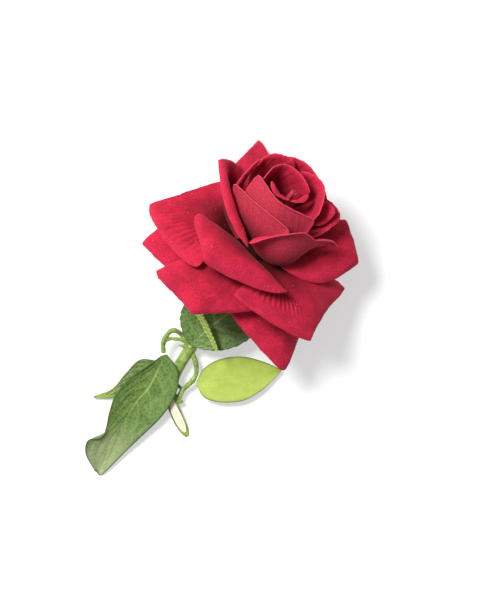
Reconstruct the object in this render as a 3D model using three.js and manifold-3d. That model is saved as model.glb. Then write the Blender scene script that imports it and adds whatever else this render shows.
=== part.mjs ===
// A crepe paper rose lying on a table, seen from above: millimetres, +Z up, +Y toward the bloom.
// Every petal and leaf is a curved sheet between three curves: its left edge, its middle and its right edge.
import * as THREE from 'three';
import Module from 'manifold-3d';
import { mergeVertices } from 'three/addons/utils/BufferGeometryUtils.js';

const wasm = await Module();
wasm.setup();

// Paper and gaps
const PETAL_THICKNESS = 0.5;
const LEAF_THICKNESS = 0.6;
const SEPAL_THICKNESS = 0.5;
const CLEARANCE = 0.3;

// The form of a petal: the share of its rim's width that it keeps where it is glued to the core,
// where along it the rim's shape begins, how soft its fold is, how tightly and how far its
// corners are rounded, and how many faces it has across and from the core to the rim
const CLAW = 0.6;
const SHAPED_FROM = 0.35;
const FOLD_SOFTNESS = 0.05;
const CORNER_POWER = 9;
const ROUNDING = [0.045, 0.045];
const PETAL_COLUMNS = 8;
const PETAL_ROWS = 7;

// How the bloom lies: its axis leans over from the vertical, toward a direction in plan
const BLOOM_LEAN = 42;
const BLOOM_HEADING = 57.3;
const BLOOM_CENTRE = new THREE.Vector3(6.9, 25.6, 27.5);

// The padded core that the petals are glued round, measured along the bloom's axis
const CORE_RADIUS = 8.6;
const CORE_BASE = -6;
const CORE_TOP = 14.2;
const CORE_POINT = 16;

// The green cup under the petals and its five sepals
const CALYX_LIP_RADIUS = 8.9;
const CALYX_NECK_RADIUS = 4.2;
const CALYX_HEIGHT = 10.4;
const SEPAL_COUNT = 5;
const SEPAL_LENGTH = 17;
const SEPAL_WIDTH = 5;
const SEPAL_TEETH = 6;
const SEPAL_KEEL = 0.5;
const SEPAL_DROOP = 1.6;

// The tiny roll of paper at the heart of the bloom
const ROLL_RADIUS = 1.6;
const ROLL_HEIGHT = 20;
const ROLL_PAPER = 0.35;
const ROLL_TURNS = 1.6;
const ROLL_HOLE_RADIUS = 0.45;
const ROLL_HEADING = 55;
const ROLL_LEAN = 14;

// The stem: a pale core inside a moulded green skin
const STEM_RADIUS = 2.55;
const STEM_CORE_RADIUS = 1.9;
const STEM_CORE_SOCKET = 9;
const CUT_SLOPE = 16;

// The leaves, each measured straight from its base to its tip
const LARGE_LEAF_LENGTH = 59.9;
const UNDER_LEAF_LENGTH = 31.5;
const BACK_LEAF_LENGTH = 37.7;
const LIME_LEAF_LENGTH = 37.4;
const LEAF_COLUMNS = 6;

// The side shoots, thorn and knot of the stem
const PETIOLE_RADIUS = 1.1;
const TWIG_RADIUS = 0.8;
const THORN_RADIUS = 1.2;
const KNOT_RADIUS = 3.1;

const RED = 0xc22a40;
const DEEP_RED = 0x7d1420;
const LEAF_GREEN = 0x55703a;
const LIME = 0xb4cc5c;
const STEM_GREEN = 0x86a048;
const CREAM = 0xf6ecd2;

const degrees = THREE.MathUtils.degToRad;
const point = (x, y, z) => new THREE.Vector3(x, y, z);

// A paper part's matte finish
function finish(colour, roughness = 0.9) {
  return new THREE.MeshStandardMaterial({ color: colour, roughness, metalness: 0 });
}

function piece(name, geometry, material) {
  const mesh = new THREE.Mesh(geometry, material);
  mesh.name = name;
  return mesh;
}

// A point round the bloom's axis: angle in degrees, distance from the axis, height along it
function aroundAxis(angle, radius, height) {
  return point(radius * Math.cos(degrees(angle)), radius * Math.sin(degrees(angle)), height);
}

// A direction leaning outward from the bloom's axis: 0 is along the axis, 90 is straight out
function leaning(angle, lean) {
  return aroundAxis(angle, Math.sin(degrees(lean)), Math.cos(degrees(lean)));
}

// A closed sheet: the grid of points, one row across for each step along, thickened both ways
function sheet(grid, thickness) {
  const rows = grid.length;
  const columns = grid[0].length;
  const corner = (i, j) => grid[Math.min(Math.max(i, 0), rows - 1)][Math.min(Math.max(j, 0), columns - 1)];
  const positions = [];
  const addSide = (offset) => {
    for (let i = 0; i < rows; i += 1) {
      for (let j = 0; j < columns; j += 1) {
        const along = corner(i + 1, j).clone().sub(corner(i - 1, j));
        const across = corner(i, j + 1).clone().sub(corner(i, j - 1));
        const normal = across.cross(along).normalize();
        positions.push(...grid[i][j].clone().addScaledVector(normal, offset).toArray());
      }
    }
  };
  addSide(thickness / 2);
  addSide(-thickness / 2);
  const back = rows * columns;
  const faces = [];
  const quad = (a, b, c, d) => faces.push(a, b, c, a, c, d);
  for (let i = 0; i < rows - 1; i += 1) {
    for (let j = 0; j < columns - 1; j += 1) {
      const k = i * columns + j;
      quad(k, k + 1, k + columns + 1, k + columns);
      quad(back + k, back + k + columns, back + k + columns + 1, back + k + 1);
    }
  }
  const edge = [];
  for (let j = 0; j < columns; j += 1) edge.push(j);
  for (let i = 1; i < rows; i += 1) edge.push(i * columns + columns - 1);
  for (let j = columns - 2; j >= 0; j -= 1) edge.push((rows - 1) * columns + j);
  for (let i = rows - 2; i > 0; i -= 1) edge.push(i * columns);
  edge.forEach((k, n) => {
    const next = edge[(n + 1) % edge.length];
    quad(k, back + k, back + next, next);
  });
  const geometry = new THREE.BufferGeometry();
  geometry.setAttribute('position', new THREE.Float32BufferAttribute(positions, 3));
  geometry.setIndex(faces);
  geometry.computeVertexNormals();
  return geometry;
}

// Rows of points between a left, a middle and a right curve
// bow is how each half bends: 2 is a round cup, 1 is a fold with straight sides
// spread is how far each half runs on from the middle before it comes round to its side
// round is the share of the length by which each corner of the rim is drawn back
function between({ left, middle, right, bow, spread, round }, across, along) {
  const grid = [];
  for (let i = 0; i <= along; i += 1) {
    const row = [];
    for (let j = 0; j <= across; j += 1) {
      const u = (2 * j) / across - 1;
      const half = u < 0 ? 0 : 1;
      const drawnBack = round[half] * Math.abs(u) ** CORNER_POWER;
      const v = (i / along) * (1 - drawnBack);
      const [l, m, r] = [left, middle, right].map((curve) => curve.getPoint(v));
      const towardRim = Math.max(0, (v - SHAPED_FROM) / (1 - SHAPED_FROM)) ** 1.5;
      const power = 2 + (bow[half] - 2) * towardRim;
      const wide = 1 + (spread[half] - 1) * towardRim;
      const away = r.clone().sub(l).multiplyScalar((u < 0 ? -wide : wide) / 2);
      const rest = (u < 0 ? l : r).clone().sub(m).sub(away);
      row.push(m.addScaledVector(away, Math.abs(u)).addScaledVector(rest, nearMiddle(u) ** power));
    }
    grid.push(row);
  }
  return grid;
}

// The place across the sheet from 0 to 1, with the fold at the middle softened
function nearMiddle(u) {
  return (Math.hypot(u, FOLD_SOFTNESS) - FOLD_SOFTNESS) / (Math.hypot(1, FOLD_SOFTNESS) - FOLD_SOFTNESS);
}

// The core's radius at a height along the axis: a blunt bud
function coreRadius(height) {
  const rise = Math.max(0, (height - CORE_BASE) / (CORE_POINT - CORE_BASE));
  return CORE_RADIUS * Math.cos((Math.PI / 2) * rise);
}

// One of a petal's three curves: where its rim is (angle, radius, height), then the lean and the
// reach of the curve as it leaves the core, and the lean and the reach as it comes to the rim
function rib(angle, radius, height, leanOut, reachOut, leanIn, reachIn) {
  return { angle, radius, height, leanOut, reachOut, leanIn, reachIn };
}

function ribCurve(spec, middleAngle, seat) {
  const seatAngle = middleAngle + (spec.angle - middleAngle) * CLAW;
  const seatRadius = coreRadius(seat) + CLEARANCE + PETAL_THICKNESS;
  const start = aroundAxis(seatAngle, seatRadius, seat);
  const end = aroundAxis(spec.angle, spec.radius, spec.height);
  const length = start.distanceTo(end);
  const leave = start.clone().addScaledVector(leaning(seatAngle, spec.leanOut), spec.reachOut * length);
  const arrive = end.clone().addScaledVector(leaning(spec.angle, spec.leanIn), -spec.reachIn * length);
  return new THREE.CubicBezierCurve3(start, leave, arrive, end);
}

function petal(row) {
  const { bow, spread = [1, 1], round = ROUNDING, across = PETAL_COLUMNS, along = PETAL_ROWS } = row;
  const ribs = [row.left, row.middle, row.right];
  const [left, middle, right] = ribs.map((spec) => ribCurve(spec, row.middle.angle, row.seat));
  const grid = between({ left, middle, right, bow, spread, round }, across, along);
  return piece(row.name, sheet(grid, PETAL_THICKNESS), finish(RED));
}

// The petals from the outermost inward: seat is the height on the core where each is glued
const PETALS = [
  {
    name: 'outer_petal_1',
    seat: -6,
    bow: [1.05, 0.95],
    left: rib(281.2, 33.4, -12, 75, 0.42, 125, 0.36),
    middle: rib(321.9, 51.9, -25, 75, 0.42, 135, 0.36),
    right: rib(355.8, 34.7, -14, 75, 0.42, 125, 0.36),
  },
  {
    name: 'outer_petal_2',
    seat: -4,
    bow: [0.85, 1],
    left: rib(234.2, 50.8, -8, 45, 0.42, 135, 0.36),
    middle: rib(263, 47.1, -10, 45, 0.42, 140, 0.36),
    right: rib(297.9, 35.4, -4, 45, 0.42, 135, 0.36),
  },
  {
    name: 'outer_petal_3',
    seat: -6,
    bow: [1.1, 1.1],
    left: rib(186, 36.2, -9, 70, 0.42, 120, 0.36),
    middle: rib(210.3, 47.3, -14, 70, 0.42, 125, 0.36),
    right: rib(235.3, 36.2, -14, 70, 0.42, 120, 0.36),
  },
  {
    name: 'outer_petal_4',
    across: 6,
    seat: -5.4,
    bow: [1.5, 1.5],
    left: rib(42.6, 43.5, 0.7, 60, 0.42, 100, 0.36),
    middle: rib(63.1, 43, 2.3, 51, 0.42, 99, 0.36),
    right: rib(79.8, 45.8, 4.4, 72, 0.42, 88, 0.36),
  },
  {
    name: 'outer_petal_5',
    across: 6,
    seat: -4,
    bow: [1.5, 1.5],
    left: rib(76.5, 43.7, 6, 50, 0.42, 95, 0.36),
    middle: rib(90.8, 45.6, 4.8, 50, 0.42, 90, 0.36),
    right: rib(100.8, 40.5, 2.9, 50, 0.42, 95, 0.36),
  },
  {
    name: 'outer_petal_6',
    along: 9,
    seat: -2.7,
    bow: [1.1, 0.6],
    left: rib(274.3, 37.1, 5, 47, 0.42, 120, 0.31),
    middle: rib(328.3, 50.8, -5, 40, 0.42, 130, 0.36),
    right: rib(370.3, 46.3, -4, 40, 0.42, 125, 0.36),
  },
  {
    name: 'outer_petal_7',
    along: 9,
    seat: -2.5,
    bow: [0.75, 1.35],
    round: [0.05, 0.1],
    left: rib(151.5, 30.8, 6, 54, 0.36, 120, 0.33),
    middle: rib(195.7, 48.8, -2, 40, 0.42, 108, 0.36),
    right: rib(246.8, 41.6, 3, 40, 0.42, 135, 0.36),
  },
  {
    name: 'outer_petal_8',
    seat: -2,
    bow: [0.8, 0.8],
    left: rib(108.7, 39.1, 10, 50, 0.42, 100, 0.36),
    middle: rib(116.4, 52.3, 6, 50, 0.42, 105, 0.36),
    right: rib(145.1, 32.3, 10, 50, 0.42, 100, 0.36),
  },
  {
    name: 'outer_petal_9',
    seat: -0.3,
    bow: [3, 0.85],
    spread: [1.8, 1],
    left: rib(-38.5, 20.3, 6.5, 65, 0.36, 125, 0.28),
    middle: rib(15.7, 44.7, 10, 30, 0.42, 124, 0.36),
    right: rib(39.8, 38.2, 17, 30, 0.42, 109, 0.36),
  },
  {
    name: 'outer_petal_10',
    along: 9,
    seat: -0.6,
    bow: [1, 1.6],
    round: [0.07, 0.1],
    left: rib(214.9, 36.6, 18, 53, 0.45, 85, 0.36),
    middle: rib(250.3, 39, 10.3, 32, 0.71, 150, 0.47),
    right: rib(311.9, 39.3, 13, 57, 0.46, 99, 0.36),
  },
  {
    name: 'cup_petal_1',
    along: 9,
    seat: 1.9,
    bow: [1.1, 2.2],
    spread: [1, 2.2],
    left: rib(149.5, 25.5, 21.2, 59, 0.49, 81, 0.36),
    middle: rib(179.1, 31.8, 29, 92, 0.58, 110, 0.35),
    right: rib(266.9, 20.9, 14.9, 70, 0.56, 127, 0.48),
  },
  {
    name: 'cup_petal_2',
    along: 9,
    seat: 4.1,
    bow: [1.5, 1.5],
    round: [0.03, 0.05],
    left: rib(264.4, 23.8, 22, 73, 0.58, 75, 0.47),
    middle: rib(316.9, 18.3, 33.6, 84, 0.75, -5, 0.34),
    right: rib(377.7, 32.6, 22, 68, 0.5, 93, 0.37),
  },
  {
    name: 'cup_petal_3',
    across: 6,
    seat: 4.5,
    bow: [1.4, 1.4],
    left: rib(-3.6, 20.6, 24, 60, 0.5, 60, 0.36),
    middle: rib(24.8, 27.3, 28.5, 60, 0.5, 61, 0.37),
    right: rib(40.7, 20.3, 31.9, 60, 0.5, 40, 0.36),
  },
  {
    name: 'cup_petal_4',
    seat: 3.4,
    bow: [1.8, 1.8],
    left: rib(40.3, 21.3, 30.7, 65, 0.55, -4, 0.36),
    middle: rib(84.4, 18.1, 37, 66, 0.55, -10, 0.36),
    right: rib(120.9, 18, 35.9, 64, 0.56, -2, 0.35),
  },
  {
    name: 'cup_petal_5',
    across: 6,
    seat: 5,
    bow: [1.8, 1.8],
    left: rib(100.2, 16.1, 37, 53, 0.46, 5, 0.43),
    middle: rib(135.1, 18, 37.6, 60, 0.5, -5, 0.36),
    right: rib(150.6, 18.8, 30, 65, 0.6, -4, 0.36),
  },
  {
    name: 'cup_petal_6',
    across: 6,
    seat: 4.5,
    bow: [1.8, 1.8],
    left: rib(156.1, 18, 36.9, 65, 0.52, 0, 0.33),
    middle: rib(174.1, 18.4, 32, 53, 0.55, 0, 0.31),
    right: rib(190, 19.6, 25, 57, 0.52, 11, 0.33),
  },
  {
    name: 'cup_petal_7',
    along: 9,
    seat: 7.4,
    bow: [1.5, 1.5],
    left: rib(193.2, 21.8, 29.9, 52, 0.52, 14, 0.36),
    middle: rib(237.1, 14.1, 32.8, 52, 0.61, -3, 0.3),
    right: rib(306.5, 16.7, 32.1, 69, 0.63, -3, 0.37),
  },
  {
    name: 'inner_petal_1',
    across: 6,
    seat: 6.5,
    bow: [1.5, 1.5],
    left: rib(8.9, 20.4, 27, 50, 0.5, 60, 0.36),
    middle: rib(22.5, 23.6, 31.9, 50, 0.5, 60, 0.36),
    right: rib(37.4, 19.9, 32, 50, 0.5, 50, 0.36),
  },
  {
    name: 'inner_petal_2',
    seat: 9,
    bow: [1.5, 1.5],
    left: rib(190.3, 13.7, 39.4, 60, 0.6, -10, 0.36),
    middle: rib(268, 8.9, 38, 55, 0.6, -15, 0.33),
    right: rib(348.4, 16.3, 35, 60, 0.6, -10, 0.36),
  },
  {
    name: 'inner_petal_3',
    across: 6,
    seat: 10,
    bow: [1.5, 1.5],
    left: rib(0, 16, 36, 38, 0.43, 0, 0.44),
    middle: rib(50.4, 17.7, 37.1, 50, 0.46, 11, 0.36),
    right: rib(87.9, 15.2, 35.8, 50, 0.5, -12, 0.43),
  },
  {
    name: 'inner_petal_4',
    across: 6,
    seat: 11.3,
    bow: [2, 2],
    left: rib(39.0, 10.0, 37.8, 55, 0.53, -10, 0.43),
    middle: rib(125.7, 10.1, 40.5, 45, 0.5, -10, 0.36),
    right: rib(190.6, 10.7, 38, 45, 0.5, -10, 0.36),
  },
  {
    name: 'inner_petal_5',
    across: 6,
    seat: 12,
    bow: [1.5, 1.5],
    left: rib(184.9, 8.4, 38, 20, 0.42, 70, 0.36),
    middle: rib(232.1, 6.4, 36.5, 20, 0.42, 85, 0.36),
    right: rib(329.6, 4.3, 35.5, 20, 0.42, 70, 0.36),
  },
  {
    name: 'inner_petal_6',
    across: 6,
    seat: 13.5,
    bow: [1.5, 1.5],
    left: rib(-23.6, 5.0, 35.5, 32, 0.42, 60, 0.36),
    middle: rib(13.5, 8.7, 35.2, 36, 0.42, 75, 0.36),
    right: rib(39.6, 10.6, 35.5, 36, 0.42, 60, 0.36),
  },
];

// The core: a bud of wadding under the paper, with a blind socket for the stem's core
function receptacle() {
  const socket = STEM_CORE_RADIUS + CLEARANCE;
  const socketTop = CORE_BASE + STEM_CORE_SOCKET;
  const profile = [
    new THREE.Vector2(0, socketTop),
    new THREE.Vector2(socket, socketTop),
    new THREE.Vector2(socket, CORE_BASE),
  ];
  const steps = 7;
  for (let i = 0; i <= steps; i += 1) {
    const height = CORE_BASE + ((CORE_TOP - CORE_BASE) * i) / steps;
    profile.push(new THREE.Vector2(coreRadius(height), height));
  }
  profile.push(new THREE.Vector2(0, CORE_TOP));
  return piece('receptacle', lathe(profile, 16), finish(DEEP_RED));
}

// A turned shape round the bloom's axis, its profile given as radius and height
function lathe(profile, sides) {
  const geometry = new THREE.LatheGeometry(profile, sides);
  geometry.rotateX(Math.PI / 2);
  return geometry;
}

const CALYX_TOP = CORE_BASE - 2 * CLEARANCE;
const CALYX_BOTTOM = CALYX_TOP - CALYX_HEIGHT;

// The calyx's outer radius at a height along the axis
function calyxRadius(height) {
  const share = THREE.MathUtils.clamp((height - CALYX_BOTTOM) / CALYX_HEIGHT, 0, 1);
  return CALYX_NECK_RADIUS + (CALYX_LIP_RADIUS - CALYX_NECK_RADIUS) * Math.sin((Math.PI / 2) * share);
}

// The green cup glued under the petals, bored for the stem's core
function calyx() {
  const bore = STEM_CORE_RADIUS + CLEARANCE;
  const profile = [new THREE.Vector2(bore, CALYX_TOP), new THREE.Vector2(bore, CALYX_BOTTOM)];
  const steps = 5;
  for (let i = 0; i <= steps; i += 1) {
    const height = CALYX_BOTTOM + (CALYX_HEIGHT * i) / steps;
    profile.push(new THREE.Vector2(calyxRadius(height), height));
  }
  profile.push(new THREE.Vector2(bore, CALYX_TOP));
  return piece('calyx', lathe(profile, 16), finish(STEM_GREEN));
}

// The heart of the bloom: a strip of paper rolled up tight and standing on the core's top
function heartRoll() {
  const turns = ROLL_TURNS * 2 * Math.PI;
  const steps = 22;
  const side = (offset) => {
    const points = [];
    for (let i = 0; i <= steps; i += 1) {
      const share = i / steps;
      const middle = ROLL_HOLE_RADIUS + (ROLL_RADIUS - ROLL_PAPER / 2 - ROLL_HOLE_RADIUS) * share;
      const angle = turns * share;
      points.push(new THREE.Vector2(Math.cos(angle), Math.sin(angle)).multiplyScalar(middle + offset));
    }
    return points;
  };
  const outline = [...side(ROLL_PAPER / 2), ...side(-ROLL_PAPER / 2).reverse()];
  const depth = ROLL_HEIGHT;
  const geometry = new THREE.ExtrudeGeometry(new THREE.Shape(outline), { depth, bevelEnabled: false });
  const mesh = piece('heart_roll', geometry, finish(RED));
  mesh.quaternion.setFromUnitVectors(point(0, 0, 1), leaning(ROLL_HEADING, ROLL_LEAN));
  mesh.position.set(0, 0, CORE_TOP + CLEARANCE + ROLL_RADIUS * Math.sin(degrees(ROLL_LEAN)));
  return mesh;
}

// The bloom's own frame: its z axis leans toward the heading and its x axis stays level
const heading = point(Math.cos(degrees(BLOOM_HEADING)), Math.sin(degrees(BLOOM_HEADING)), 0);
const bloomAxis = heading.clone().multiplyScalar(Math.sin(degrees(BLOOM_LEAN)));
bloomAxis.z = Math.cos(degrees(BLOOM_LEAN));
const bloomRight = point(heading.y, -heading.x, 0);
const bloomBack = bloomAxis.clone().cross(bloomRight);
const bloomFrame = new THREE.Matrix4().makeBasis(bloomRight, bloomBack, bloomAxis).setPosition(BLOOM_CENTRE);
const fromBloom = (angle, radius, height) => aroundAxis(angle, radius, height).applyMatrix4(bloomFrame);

const bloom = new THREE.Group();
bloom.applyMatrix4(bloomFrame);
bloom.add(receptacle(), heartRoll(), calyx(), ...PETALS.map(petal));

// A sepal: a pleated strip with toothed sides that follows a path away from the calyx
function sepal(name, path, side, width, teeth) {
  const spine = new THREE.CatmullRomCurve3(path);
  const along = 2 * teeth;
  const grid = [];
  for (let i = 0; i <= along; i += 1) {
    const v = i / along;
    const taper = 0.25 + 0.75 * Math.sin(Math.PI * (0.3 + 0.7 * v)) ** 0.7;
    const toothed = i % 2 === 0 ? 1 : 0.8;
    const reach = side.clone().multiplyScalar((width / 2) * taper * toothed);
    const middle = spine.getPoint(v);
    const keel = side.clone().cross(spine.getTangent(v)).setLength(SEPAL_KEEL);
    grid.push([middle.clone().sub(reach), middle.clone().add(keel), middle.clone().add(reach)]);
  }
  return piece(name, sheet(grid, SEPAL_THICKNESS), finish(STEM_GREEN));
}

// The long sepal that shows below the petals turns down the stem and lies over the back leaf
const FRONT_SEPAL_ANGLE = 283;
const SEPAL_SEAT = -8.2;
const sepalStart = (angle) => fromBloom(angle, calyxRadius(SEPAL_SEAT) + 1.5 * CLEARANCE, SEPAL_SEAT);
const FRONT_SEPAL_PATH = [
  sepalStart(FRONT_SEPAL_ANGLE),
  point(-10, 4.8, 23.6),
  point(-17, -0.5, 21.6),
  point(-17.8, -5.8, 20.5),
  point(-15.6, -10, 19.6),
  point(-13.4, -14.8, 18.7),
  point(-11.3, -19.3, 17.9),
  point(-10, -22.6, 17.2),
];

function sepals() {
  const front = FRONT_SEPAL_PATH;
  const meshes = [sepal('sepal_1', front, point(0.95, -0.3, 0.1), SEPAL_WIDTH - 1, 2 * SEPAL_TEETH)];
  for (let i = 1; i < SEPAL_COUNT; i += 1) {
    const angle = FRONT_SEPAL_ANGLE + (360 * i) / SEPAL_COUNT;
    const start = calyxRadius(SEPAL_SEAT) + 1.5 * CLEARANCE;
    const path = [
      sepalStart(angle),
      fromBloom(angle, start + 0.4 * SEPAL_LENGTH, SEPAL_SEAT - 0.75 * SEPAL_DROOP),
      fromBloom(angle, start + SEPAL_LENGTH, SEPAL_SEAT - SEPAL_DROOP),
    ];
    const side = fromBloom(angle + 90, 1, 0).sub(BLOOM_CENTRE);
    meshes.push(sepal(`sepal_${i + 1}`, path, side, SEPAL_WIDTH, SEPAL_TEETH));
  }
  return meshes;
}

// The stem's middle line: straight down the bloom's axis, then bending to lie along the table
const STEM_LINE = new THREE.CatmullRomCurve3([
  fromBloom(0, 0, CORE_BASE + STEM_CORE_SOCKET - CLEARANCE),
  fromBloom(0, 0, CORE_BASE - 1),
  fromBloom(0, 0, CALYX_BOTTOM),
  fromBloom(0, 0, CALYX_BOTTOM - 6),
  point(-7.9, 1.8, 7.4),
  point(-15.3, -10.9, 6.6),
  point(-22.3, -21.8, 6),
  point(-27.6, -30.7, 5),
  point(-30.3, -38.6, 3.9),
  point(-29.8, -44.8, 3.4),
  point(-27.2, -51.8, 3.05),
  point(-21.1, -64.1, 2.8),
]);
const KNOT = point(-21.8, -20.6, 6);
const CUT_TIP = point(-22, -59.8, 0.35);
const CUT_HEADING = point(0.41, -0.91, 0).normalize();

// Side shoots of the moulded stem, each a path and a radius
const SHOOTS = [
  {
    radius: PETIOLE_RADIUS,
    path: [
      [-22.2, -20, 6.2], [-24.2, -16.6, 7.6], [-25.8, -14.9, 8.6], [-28.4, -13.3, 9.6],
      [-30.6, -13.9, 10], [-32.6, -16.4, 10], [-33.6, -19.2, 9.6], [-33.4, -23.2, 8.7],
    ],
  },
  {
    radius: TWIG_RADIUS,
    path: [[-22.8, -19, 6.4], [-25.8, -17.4, 7.6], [-28.4, -17, 8.8], [-30.8, -17, 9.5], [-33, -18.2, 9.8]],
  },
  {
    radius: PETIOLE_RADIUS,
    path: [
      [-21.6, -21.8, 6], [-19.8, -26.2, 5.9], [-19, -31.1, 5.6], [-20.4, -34.9, 5.2],
      [-23.2, -37.7, 4.8], [-25.4, -39.9, 4.4], [-26.8, -43, 4], [-28.2, -45.6, 3.6],
    ],
  },
  { radius: TWIG_RADIUS, path: [[-29.4, -36.4, 4.2], [-27, -37.8, 4.4], [-25, -39.3, 4.5]] },
  { radius: TWIG_RADIUS, path: [[-21.4, -34, 5.2], [-20.8, -34.6, 5.2], [-20, -35.3, 5.3]] },
  { radius: PETIOLE_RADIUS, path: [[-21.8, -20.6, 6], [-21.8, -20.4, 7.6], [-21.8, -20.1, 9.2]] },
];
const THORN_BASE = point(-23, -20.2, 6.8);
const THORN_TIP = point(-27.3, -19.6, 7.4);

// A round tube along a path, closed at both ends
function tube(curve, radius, sides, steps) {
  const section = new THREE.Shape().absarc(0, 0, radius, 0, 2 * Math.PI);
  return new THREE.ExtrudeGeometry(section, { steps, curveSegments: sides / 2, extrudePath: curve });
}

// The part of a curve that lies past a share of its length
function pastShare(curve, share) {
  const steps = 24;
  const points = [];
  for (let i = 0; i <= steps; i += 1) {
    points.push(curve.getPointAt(THREE.MathUtils.lerp(share, 1, i / steps)));
  }
  return new THREE.CatmullRomCurve3(points);
}

// The mesh as a solid that can be joined and cut
function solid(geometry) {
  const bare = geometry.clone();
  bare.deleteAttribute('normal');
  bare.deleteAttribute('uv');
  const merged = mergeVertices(bare, 1e-3);
  const vertProperties = new Float32Array(merged.getAttribute('position').array);
  const triVerts = new Uint32Array(merged.getIndex().array);
  return new wasm.Manifold(new wasm.Mesh({ numProp: 3, vertProperties, triVerts }));
}

function fromSolid(body) {
  const mesh = body.getMesh();
  const geometry = new THREE.BufferGeometry();
  geometry.setAttribute('position', new THREE.Float32BufferAttribute(mesh.vertProperties, 3));
  geometry.setIndex([...mesh.triVerts]);
  geometry.computeVertexNormals();
  return geometry;
}

// Everything past the slanted cut, as one block to take away
function cutBlock() {
  const size = 60;
  const normal = CUT_HEADING.clone().multiplyScalar(Math.sin(degrees(CUT_SLOPE)));
  normal.z = Math.cos(degrees(CUT_SLOPE));
  const geometry = new THREE.BoxGeometry(size, size, size);
  geometry.translate(0, 0, size / 2);
  const turn = new THREE.Quaternion().setFromUnitVectors(point(0, 0, 1), normal);
  geometry.applyQuaternion(turn);
  geometry.translate(CUT_TIP.x, CUT_TIP.y, CUT_TIP.z);
  return solid(geometry);
}

// The pale core, from its socket in the bud to the slanted cut
function stemCore() {
  const body = solid(tube(STEM_LINE, STEM_CORE_RADIUS, 8, 22)).subtract(cutBlock());
  return piece('stem_core', fromSolid(body), finish(CREAM));
}

// The green skin, moulded in one with its knot, thorn and side shoots, and bored for the core
function stemSkin() {
  const covered = fromBloom(0, 0, CORE_BASE + STEM_CORE_SOCKET - CLEARANCE)
    .distanceTo(fromBloom(0, 0, CALYX_BOTTOM - CLEARANCE));
  const line = pastShare(STEM_LINE, covered / STEM_LINE.getLength());
  const knot = new THREE.SphereGeometry(KNOT_RADIUS, 8, 6);
  knot.scale(1, 1, 0.9);
  knot.translate(KNOT.x, KNOT.y, KNOT.z);
  const thorn = new THREE.ConeGeometry(THORN_RADIUS, THORN_BASE.distanceTo(THORN_TIP), 7);
  const along = THORN_TIP.clone().sub(THORN_BASE);
  thorn.applyQuaternion(new THREE.Quaternion().setFromUnitVectors(point(0, 1, 0), along.clone().normalize()));
  const middle = THORN_BASE.clone().addScaledVector(along, 0.5);
  thorn.translate(middle.x, middle.y, middle.z);
  let body = solid(tube(line, STEM_RADIUS, 10, 18)).add(solid(knot)).add(solid(thorn));
  for (const { path, radius } of SHOOTS) {
    const curve = new THREE.CatmullRomCurve3(path.map((place) => point(...place)));
    body = body.add(solid(tube(curve, radius, 6, 2 * path.length - 2)));
  }
  body = body.subtract(solid(tube(STEM_LINE, STEM_CORE_RADIUS + CLEARANCE, 8, 22)));
  body = body.subtract(cutBlock());
  return piece('stem_skin', fromSolid(body), finish(STEM_GREEN, 0.6));
}

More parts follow.
